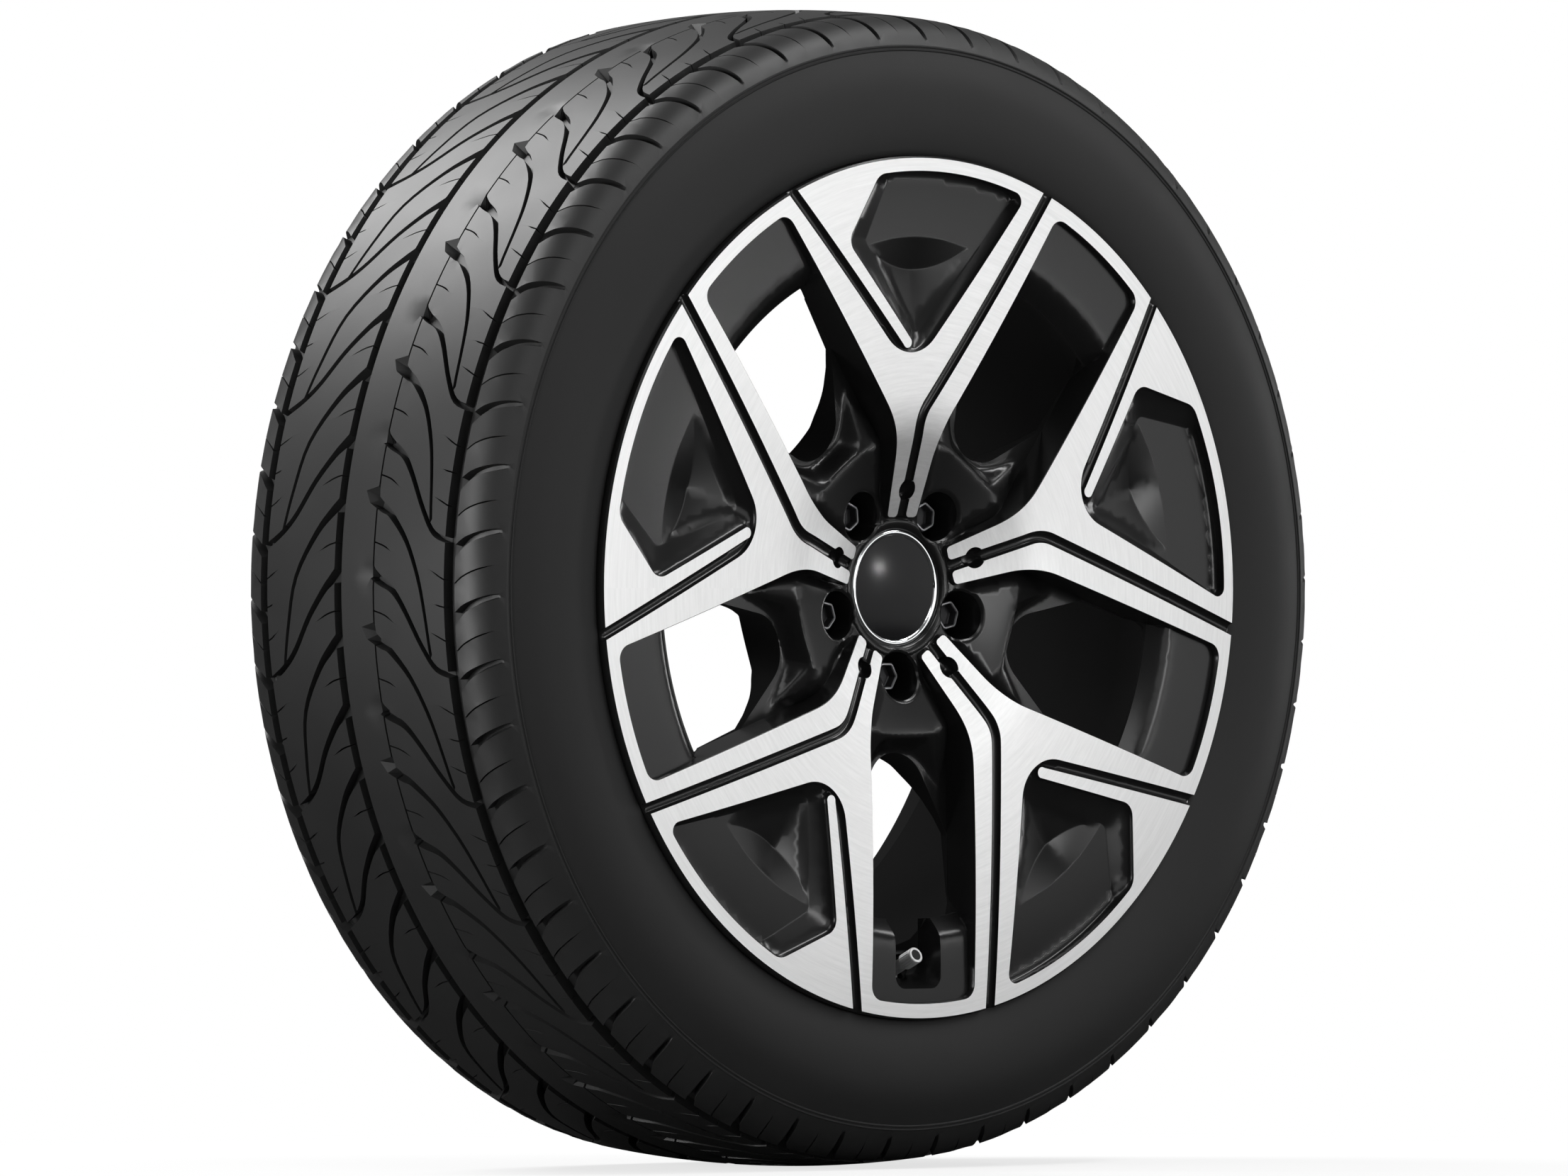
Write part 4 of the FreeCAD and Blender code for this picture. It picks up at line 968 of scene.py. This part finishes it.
def treadDepth(p, cuts):
    deep = np.zeros(len(p))
    for middle, width, depth in tread["bands"]:
        taper = min(tread["taper"], width / 3)
        deep = np.maximum(deep, depth * np.clip((width / 2 - np.abs(p[:, 0] - middle)) / taper, 0, 1))
    for run, half, depth, taper in cuts:
        a, d = run[:-1], run[1:] - run[:-1]
        gap = p[:, None] - a
        t = np.clip((gap * d).sum(-1) / (d * d).sum(-1), 0, 1)
        far = np.sqrt(((gap - t[..., None] * d) ** 2).sum(-1))
        wide = half[:-1] + t * (half[1:] - half[:-1])
        low = depth[:-1] + t * (depth[1:] - depth[:-1])
        deep = np.maximum(deep, (low * np.clip((wide - far) / taper, 0, 1)).max(1))
    return deep


def treadPitch():
    # one pitch of the tread, drawn flat
    plan = Plan()
    cuts = treadCuts()
    slices = np.linspace(0, pitchLength, tread["slices"] + 1)
    across = np.linspace(-treadHalf, treadHalf, 31)
    for v in (0, pitchLength):
        plan.line(np.stack([across, np.full(len(across), v)], -1))
    columns = [-treadHalf, treadHalf]
    for middle, width, _ in tread["bands"]:
        inner = width / 2 - min(tread["taper"], width / 3)
        columns += [middle + k for k in (-width / 2, -inner, inner, width / 2)]
    for u in columns:
        plan.line(np.stack([np.full(len(slices), u), slices], -1))
    for run, half, _, taper in cuts:
        inner = np.maximum(half - taper, 0)
        shifts = [half, -half] + ([inner, -inner] if inner.max() > 0.02 else [inner])
        for shift in shifts:
            plan.line(shifted(run, shift[:, None]))
    grid = hexGrid((-treadHalf, 0), (treadHalf, pitchLength), tread["grid"])
    inside = (np.abs(grid[:, 0]) < treadHalf - 2) & (grid[:, 1] > 2) & (grid[:, 1] < pitchLength - 2)
    plan.fill(grid[inside], tread["gridClear"])
    points, faces = plan.cut()
    mid = points[faces].mean(1)
    faces = faces[(mid[:, 1] > 0) & (mid[:, 1] < pitchLength) & (np.abs(mid[:, 0]) < treadHalf)]
    used = np.unique(faces)
    points = points[used]
    return points, np.searchsorted(used, faces), treadDepth(points, cuts)


def roundTyre(radius, out, angle):
    a = np.radians(angle)
    return np.stack([radius * np.cos(a), tread["middleY"] - out, radius * np.sin(a)], -1) / 1000


def buildTyre(materials):
    skin = Skin()
    flat, faces, deep = treadPitch()
    u = np.abs(flat[:, 0])
    outward = np.stack([np.interp(u, sectionRun, sectionOut[:, k]) for k in (0, 1)], -1)
    radius = np.interp(u, sectionRun, sectionLine[:, 0]) - deep * outward[:, 0]
    out = (np.interp(u, sectionRun, sectionLine[:, 1]) - deep * outward[:, 1]) * np.sign(flat[:, 0])
    angle = tread["phase"] + np.degrees(flat[:, 1] / tread["baseR"])
    for k in range(tread["pitches"]):
        skin.add(roundTyre(radius, out, angle + k * 360 / tread["pitches"]), faces)
    count = tread["pitches"] * tread["slices"]
    around = tread["phase"] + np.arange(count) * 360 / count
    for side in (1, -1):
        rows = [(np.full(count, r), np.full(count, d * side)) for r, d in tread["side"]]
        skin.rings([roundTyre(r, d, around) for r, d in rows], 1)
    piece = skin.build("tyre_body", "wheel", materials, 2e-5, 30)
    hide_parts("tyre")
    print("tyre:", len(piece.data.polygons), "faces")


# The bolts

bolt = {
    "hex": 17.0, "recess": 13.6, "top": 33.4, "points": 48,
    # rings of the recess and of the head: added width, largest radius, depth below the top
    "recessRows": [(-12.48, 99.0, 6.9), (-1.6, 99.0, 6.5), (-0.5, 99.0, 6.0), (0.0, 99.0, 0.7),
                   (0.9, 8.1, 0.0)],
    "hexRows": [(-0.9, 8.75, 0.0), (-0.25, 9.2, 0.25), (0.0, 9.75, 0.8), (0.0, 99.0, 1.6), (0.0, 99.0, 21.6),
                (1.2, 99.0, 22.7)],
    # radius and drop of the collar, the cone and the shank
    "neck": [(11.2, 56.4), (11.8, 56.8), (12.0, 57.5), (12.0, 59.8), (10.4, 61.5), (8.4, 63.6), (6.3, 65.15),
             (6.3, 82.8), (6.6, 83.4)],
    "threadR": 7.0, "threadDeep": 0.55, "threadPitch": 1.5, "threadFrom": 83.7, "threadTo": 101.5,
    "tipR": 5.8, "tipDrop": 102.7,
}


def hexRing(width, angles, limit):
    # radius of a hexagon with its corners at multiples of 60 degrees
    corner = np.radians(angles % 60 - 30)
    return np.minimum(width / 2 / np.cos(corner), limit)


def buildBolts(materials):
    skin = Skin()
    n = bolt["points"]
    angles = np.arange(n) * 360 / n
    rows = []
    for part in ("recess", "hex"):
        for extra, limit, below in bolt[part + "Rows"]:
            rows.append((hexRing(bolt[part] + extra, angles, limit), bolt["top"] + below))
    rows += [(np.full(n, r), d) for r, d in bolt["neck"]]
    count = round((bolt["threadTo"] - bolt["threadFrom"]) / bolt["threadPitch"] * 6)
    for d in np.linspace(bolt["threadFrom"], bolt["threadTo"], count):
        wave = np.abs(((d / bolt["threadPitch"] + angles / 360) % 1) * 2 - 1)
        rows.append((bolt["threadR"] - bolt["threadDeep"] * wave, d))
    rows += [(np.full(n, bolt["tipR"]), bolt["tipDrop"]), (np.full(n, 0.4), bolt["tipDrop"])]
    for k, spot in enumerate(lugSpots()):
        around = angles + sector * (k + 0.5) + 90
        rings = [place(spot + polar(r, around), d) for r, d in rows]
        # the recess and its floor take the second finish, a dark colour that paints shade into the hollow
        skin.rings(rings[:4], 1)
        skin.rings(rings[3:])
        for ring, mark in ((rings[0], 1), (rings[-1], 0)):
            skin.add(ring, [list(range(n))], mark)
    piece = skin.build("bolt_set", "wheel", materials, 1e-6, 32)
    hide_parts("wheel_bolts")
    print("bolts:", len(piece.data.polygons), "faces")


# The spring of the valve's core

coil = {
    "turns": 5, "length": 6.0, "wire": 0.35, "radius": 1.0, "low": 25.2, "jointAt": 32.0,
    "steps": 28, "points": 10, "pressed": 0.75,
}


def valveLine():
    # a point on the valve's axis, where the cap's joint is, and the way out along it
    cap = next(j for j in frame["record"]["behaviour"]["joints"] if j["name"] == "cap_turn")
    return np.array(cap["pos_m"]), np.array(cap["axis"])


def buildCoreSpring(material):
    point, axis = valveLine()
    foot = point + axis * (coil["low"] - coil["jointAt"]) / 1000
    across = np.array([1.0, 0.0, 0.0])
    aside = np.cross(axis, across)
    run = np.linspace(0, 1, coil["turns"] * coil["steps"] + 1)
    half = coil["wire"] / 2
    section = np.arange(coil["points"]) * 2 * math.pi / coil["points"]
    rings = []
    for share in run:
        angle = share * coil["turns"] * 2 * math.pi
        out = across * math.cos(angle) + aside * math.sin(angle)
        rise = half + share * (coil["length"] - coil["wire"])
        beside = np.outer(coil["radius"] + half * np.cos(section), out)
        along = np.outer(rise + half * np.sin(section), axis)
        rings.append(foot + (beside + along) / 1000)
    skin = Skin()
    skin.rings(rings)
    for ring in (rings[0], rings[-1]):
        skin.add(ring, [list(range(coil["points"]))])
    piece = skin.build("core_spring", "wheel", [material], 1e-7, 60)
    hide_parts("valve_core_spring")
    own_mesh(piece)
    print("core spring:", len(piece.data.polygons), "faces")


# Finishes

class Sock:
    # a node's socket that can stand in a sum
    def __init__(self, finish, socket):
        self.finish, self.socket = finish, socket

    def math(self, how, a, b):
        return self.finish.node("ShaderNodeMath", {"operation": how}, {0: a, 1: b})

    def __add__(self, other):
        return self.math("ADD", self, other)

    def __sub__(self, other):
        return self.math("SUBTRACT", self, other)

    def __rsub__(self, other):
        return self.math("SUBTRACT", other, self)

    def __mul__(self, other):
        return self.math("MULTIPLY", self, other)

    def __pow__(self, other):
        return self.math("POWER", self, other)

    __radd__ = __add__
    __rmul__ = __mul__


class Finish:
    def __init__(self, name, owner=None):
        self.owner = owner or bpy.data.materials.new(name)
        self.owner.use_nodes = True
        self.tree = self.owner.node_tree
        self.tree.nodes.clear()

    def node(self, kind, settings=None, sockets=None, output=0):
        made = self.tree.nodes.new(kind)
        for key, value in (settings or {}).items():
            setattr(made, key, value)
        for key, value in (sockets or {}).items():
            if isinstance(value, Sock):
                self.tree.links.new(value.socket, made.inputs[key])
            else:
                made.inputs[key].default_value = value
        return Sock(self, made.outputs[output]) if made.outputs else None

    def where(self):
        return self.node("ShaderNodeTexCoord", output=3)

    def noise(self, at, scale, detail=3.0, rough=0.5):
        return self.node("ShaderNodeTexNoise", None,
                         {"Vector": at, "Scale": scale, "Detail": detail, "Roughness": rough})

    def mix(self, share, a, b):
        return self.node("ShaderNodeMix", {"data_type": "RGBA"}, {0: share, 6: a, 7: b}, 2)

    def bump(self, height, strength, distance):
        return self.node("ShaderNodeBump", None,
                         {"Height": height, "Strength": strength, "Distance": distance})

    def parts(self, at):
        made = self.node("ShaderNodeSeparateXYZ", None, {0: at}).socket.node
        return [Sock(self, made.outputs[k]) for k in range(3)]

    def grainy(self, low, high, rough, vary, grain, cloud, bump, **more):
        # two colours in clouds, which vary the roughness too, and a fine grain as bumps
        at = self.where()
        fine, clouds = self.noise(at, *grain), self.noise(at, *cloud)
        return self.surface(Base_Color=self.mix(clouds, low, high), Roughness=rough + vary * clouds,
                            Normal=self.bump(fine, *bump), **more)

    def surface(self, **sockets):
        named = {key.replace("_", " "): value for key, value in sockets.items()}
        return self.show(self.node("ShaderNodeBsdfPrincipled", None, named))

    def show(self, shader):
        self.node("ShaderNodeOutputMaterial", None, {0: shader})
        return self.owner


def grey(value):
    return (value, value, value, 1.0)


def blackEnamel():
    return Finish("black_enamel").grainy(grey(0.004), grey(0.006), 0.2, 0.06, (900.0, 2.0), (14.0, 2.0),
                                         (0.03, 0.0001), Specular_IOR_Level=0.3)


def mattBlack():
    # the barrel and the backs of the spokes, which were never polished
    return Finish("matt_black").grainy(grey(0.008), grey(0.011), 0.6, 0.1, (500.0, 3.0), (11.0, 2.0),
                                       (0.08, 0.0002), Specular_IOR_Level=0.0)


def turnedFace():
    # fine rings left by the lathe
    f = Finish("turned_face")
    at = f.where()
    x, _, z = f.parts(at)
    radius = (x * x + z * z) ** 0.5
    around = f.node("ShaderNodeMath", {"operation": "ARCTAN2"}, {0: z, 1: x})
    along = f.node("ShaderNodeCombineXYZ", None, {0: radius * 520.0, 1: around * 5.0})
    lines = f.noise(along, 1.0, 4.0, 0.7)
    cloud = f.noise(at, 9.0, 2.0)
    return f.surface(Base_Color=f.mix(lines, grey(0.66), grey(0.92)), Metallic=1.0,
                     Roughness=0.4 + 0.14 * lines + 0.05 * cloud, Normal=f.bump(lines, 0.14, 0.0002))


def tyreRubber(name, base, rough, shine):
    return Finish(name).grainy(grey(base * 0.85), grey(base), rough, 0.1, (1400.0, 3.0), (18.0, 3.0),
                               (0.1, 0.0003), Specular_IOR_Level=shine)


def plainFinish(name, colour, rough, metal=0.0, grain=600.0, **more):
    # one colour with a little life in its colour, roughness and surface
    dark = tuple(c * 0.85 for c in colour)
    return Finish(name).grainy((*dark, 1.0), (*colour, 1.0), rough, 0.06, (grain, 3.0), (60.0, 2.0),
                               (0.06, 0.0001), Metallic=metal, **more)


def fluted():
    # the valve's cap, with a dark end inside a bright edge
    f = Finish("valve_cap_metal")
    point, axis = valveLine()
    at = f.where()
    x, y, z = f.parts(at)
    across = (y - float(point[1])) * float(axis[2]) - (z - float(point[2])) * float(axis[1])
    far = (x * x + across * across) ** 0.5
    dark = f.node("ShaderNodeMapRange", None, {0: far, 1: 0.0034, 2: 0.0038, 3: 1.0, 4: 0.0})
    fine = f.noise(at, 700.0, 3.0)
    return f.surface(Base_Color=f.mix(dark, f.mix(fine, grey(0.36), grey(0.46)), grey(0.012)), Metallic=0.7,
                     Roughness=0.38 + 0.1 * fine + 0.2 * dark, Normal=f.bump(fine, 0.06, 0.0001))


def coat(node, material):
    mesh = frame["nodes"][node].data
    mesh.materials.clear()
    mesh.materials.append(material)


# colour, roughness and metal of the small fittings, and the solids that have them
fittings = {
    "cap_chrome": ((0.8, 0.81, 0.82), 0.08, 1.0, ["centre_cap_ring"]),
    "valve_metal": ((0.7, 0.7, 0.7), 0.38, 0.8, ["valve_stem", "valve_washer", "valve_nut"]),
    "soft_seal": ((0.014, 0.014, 0.014), 0.6, 0.0,
                  ["valve_sleeve_seal", "valve_core_ring_seal", "valve_core_gasket", "valve_cap_seal"]),
    "core_brass": ((0.6, 0.43, 0.17), 0.28, 1.0, ["valve_core_housing", "valve_core_pin"]),
    "sensor_plastic": ((0.03, 0.03, 0.032), 0.5, 0.0, ["sensor_housing"]),
    "screw_steel": ((0.3, 0.3, 0.31), 0.35, 1.0, ["sensor_screw"]),
}


# Stage and camera

stage = {
    "azimuth": 42.69, "distance": 13.9, "lens": 500.0, "sensor": 36.0, "middle": (0.0, 0.048, 0.0),
    "floorSize": 30.0, "floorColour": 0.8, "shine": 0.03, "ambient": 0.16,
    "shadowCore": 0.25, "shadowR": 0.9, "shadow": 0.3,
    # soft boxes: name, place, width, height, power
    "boxes": [
        ("face", (2.75, -2.95, 0.0), 2.3, 1.8, 16.5),
        ("key", (-1.6, -3.0, 2.8), 1.6, 1.6, 30.0),
        ("rear", (-0.7, 2.8, 3.0), 2.2, 2.2, 200.0),
        ("spark", (1.55, -1.98, 0.13), 0.014, 0.014, 0.8),
        ("above", (1.2, -1.3, 3.0), 2.4, 0.5, 60.0),
        ("left", (1.3, -3.8, 0.0), 0.4, 1.8, 30.0),
        ("right", (3.1, -0.4, 0.0), 0.25, 1.8, 16.0),
        ("brow", (2.4, -1.65, 1.97), 1.8, 0.3, 22.0),
        ("front", (-0.2, -4.2, 0.9), 2.2, 1.8, 16.0),
        ("side", (-3.4, 0.3, 0.0), 1.5, 1.5, 130.0),
    ],
}


def buildStage():
    a = math.radians(stage["azimuth"])
    target = Vector(stage["middle"])
    away = Vector((-math.sin(a), -math.cos(a), 0))
    data = bpy.data.cameras.new("camera")
    data.lens, data.sensor_width = stage["lens"], stage["sensor"]
    data.clip_end = 100.0
    camera = bpy.data.objects.new("camera", data)
    camera.location = target + away * stage["distance"]
    camera.rotation_mode = "QUATERNION"
    camera.rotation_quaternion = (-away).to_track_quat("-Z", "Y")
    bpy.context.scene.collection.objects.link(camera)
    bpy.context.scene.camera = camera

    half = stage["floorSize"]
    low = cadBox[0].z
    mesh = bpy.data.meshes.new("floor")
    mesh.from_pydata([(-half, -half, low), (half, -half, low), (half, half, low), (-half, half, low)],
                     [], [(0, 1, 2, 3)])
    floor = bpy.data.objects.new("floor", mesh)
    bpy.context.scene.collection.objects.link(floor)
    mesh.materials.append(paleFloor())

    for name, spot, width, height, power in stage["boxes"]:
        light = bpy.data.lights.new(name, "AREA")
        light.shape, light.size, light.size_y, light.energy = "RECTANGLE", width, height, power
        lamp = bpy.data.objects.new(name, light)
        lamp.location = spot
        lamp.rotation_mode = "QUATERNION"
        lamp.rotation_quaternion = (-Vector(spot)).to_track_quat("-Z", "Y")
        bpy.context.scene.collection.objects.link(lamp)

    world = bpy.data.worlds.new("studio")
    bpy.context.scene.world = world
    f = Finish("studio", world)
    seen = seenDirectly(f)
    ambient = f.node("ShaderNodeBackground", None, {0: grey(1.0), 1: stage["ambient"]})
    white = f.node("ShaderNodeBackground", None, {0: grey(1.0), 1: 1.0})
    both = f.node("ShaderNodeMixShader", None, {0: seen, 1: ambient, 2: white})
    f.node("ShaderNodeOutputWorld", None, {0: both})
    bpy.context.scene.view_settings.view_transform = "Standard"


def seenDirectly(f):
    # 1 for what the camera sees
    return f.node("ShaderNodeLightPath")


def paleFloor():
    f = Finish("pale_floor")
    matt = f.node("ShaderNodeBsdfDiffuse", None, {0: grey(stage["floorColour"])})
    glow = f.node("ShaderNodeEmission", None, {0: grey(1.0), 1: 1.0})
    far = f.node("ShaderNodeVectorMath", {"operation": "LENGTH"}, {0: f.where()}, 1)
    near = f.node("ShaderNodeMapRange", {"interpolation_type": "SMOOTHSTEP"},
                  {0: far, 1: stage["shadowCore"], 2: stage["shadowR"], 3: stage["shadow"], 4: 0.0})
    pale = f.node("ShaderNodeMixShader", None, {0: seenDirectly(f) * (1.0 - near), 1: matt, 2: glow})
    dark = f.node("ShaderNodeBsdfDiffuse", None, {0: grey(stage["shine"])})
    mirrored = f.node("ShaderNodeLightPath", output=3)
    return f.show(f.node("ShaderNodeMixShader", None, {0: mirrored, 1: pale, 2: dark}))


buildCasting([blackEnamel(), turnedFace(), mattBlack()])
buildTyre([tyreRubber("tread_rubber", 0.009, 0.44, 0.42), tyreRubber("side_rubber", 0.009, 0.55, 0.25)])
# the bolts' recess gets a much darker copy of the zinc, painted shade in the hollow
buildBolts([plainFinish("bolt_zinc", (0.3, 0.3, 0.31), 0.34, 0.9),
            plainFinish("bolt_recess_shade", (0.04, 0.04, 0.042), 0.4, 0.6)])
capGloss = plainFinish("cap_gloss", (0.004, 0.004, 0.0045), 0.09, 0.0, 200.0, Specular_IOR_Level=0.14)
coat("centre_cap_shell", capGloss)
coat("valve_cap", fluted())
springWire = plainFinish("spring_wire", (0.4, 0.4, 0.41), 0.3, 1.0)
coat("centre_cap_spring", springWire)
buildCoreSpring(springWire)
for name, (colour, rough, metal, solids) in fittings.items():
    material = plainFinish(name, colour, rough, metal)
    for node in solids:
        coat(node, material)
print("finishes set")
buildStage()
print("stage set")
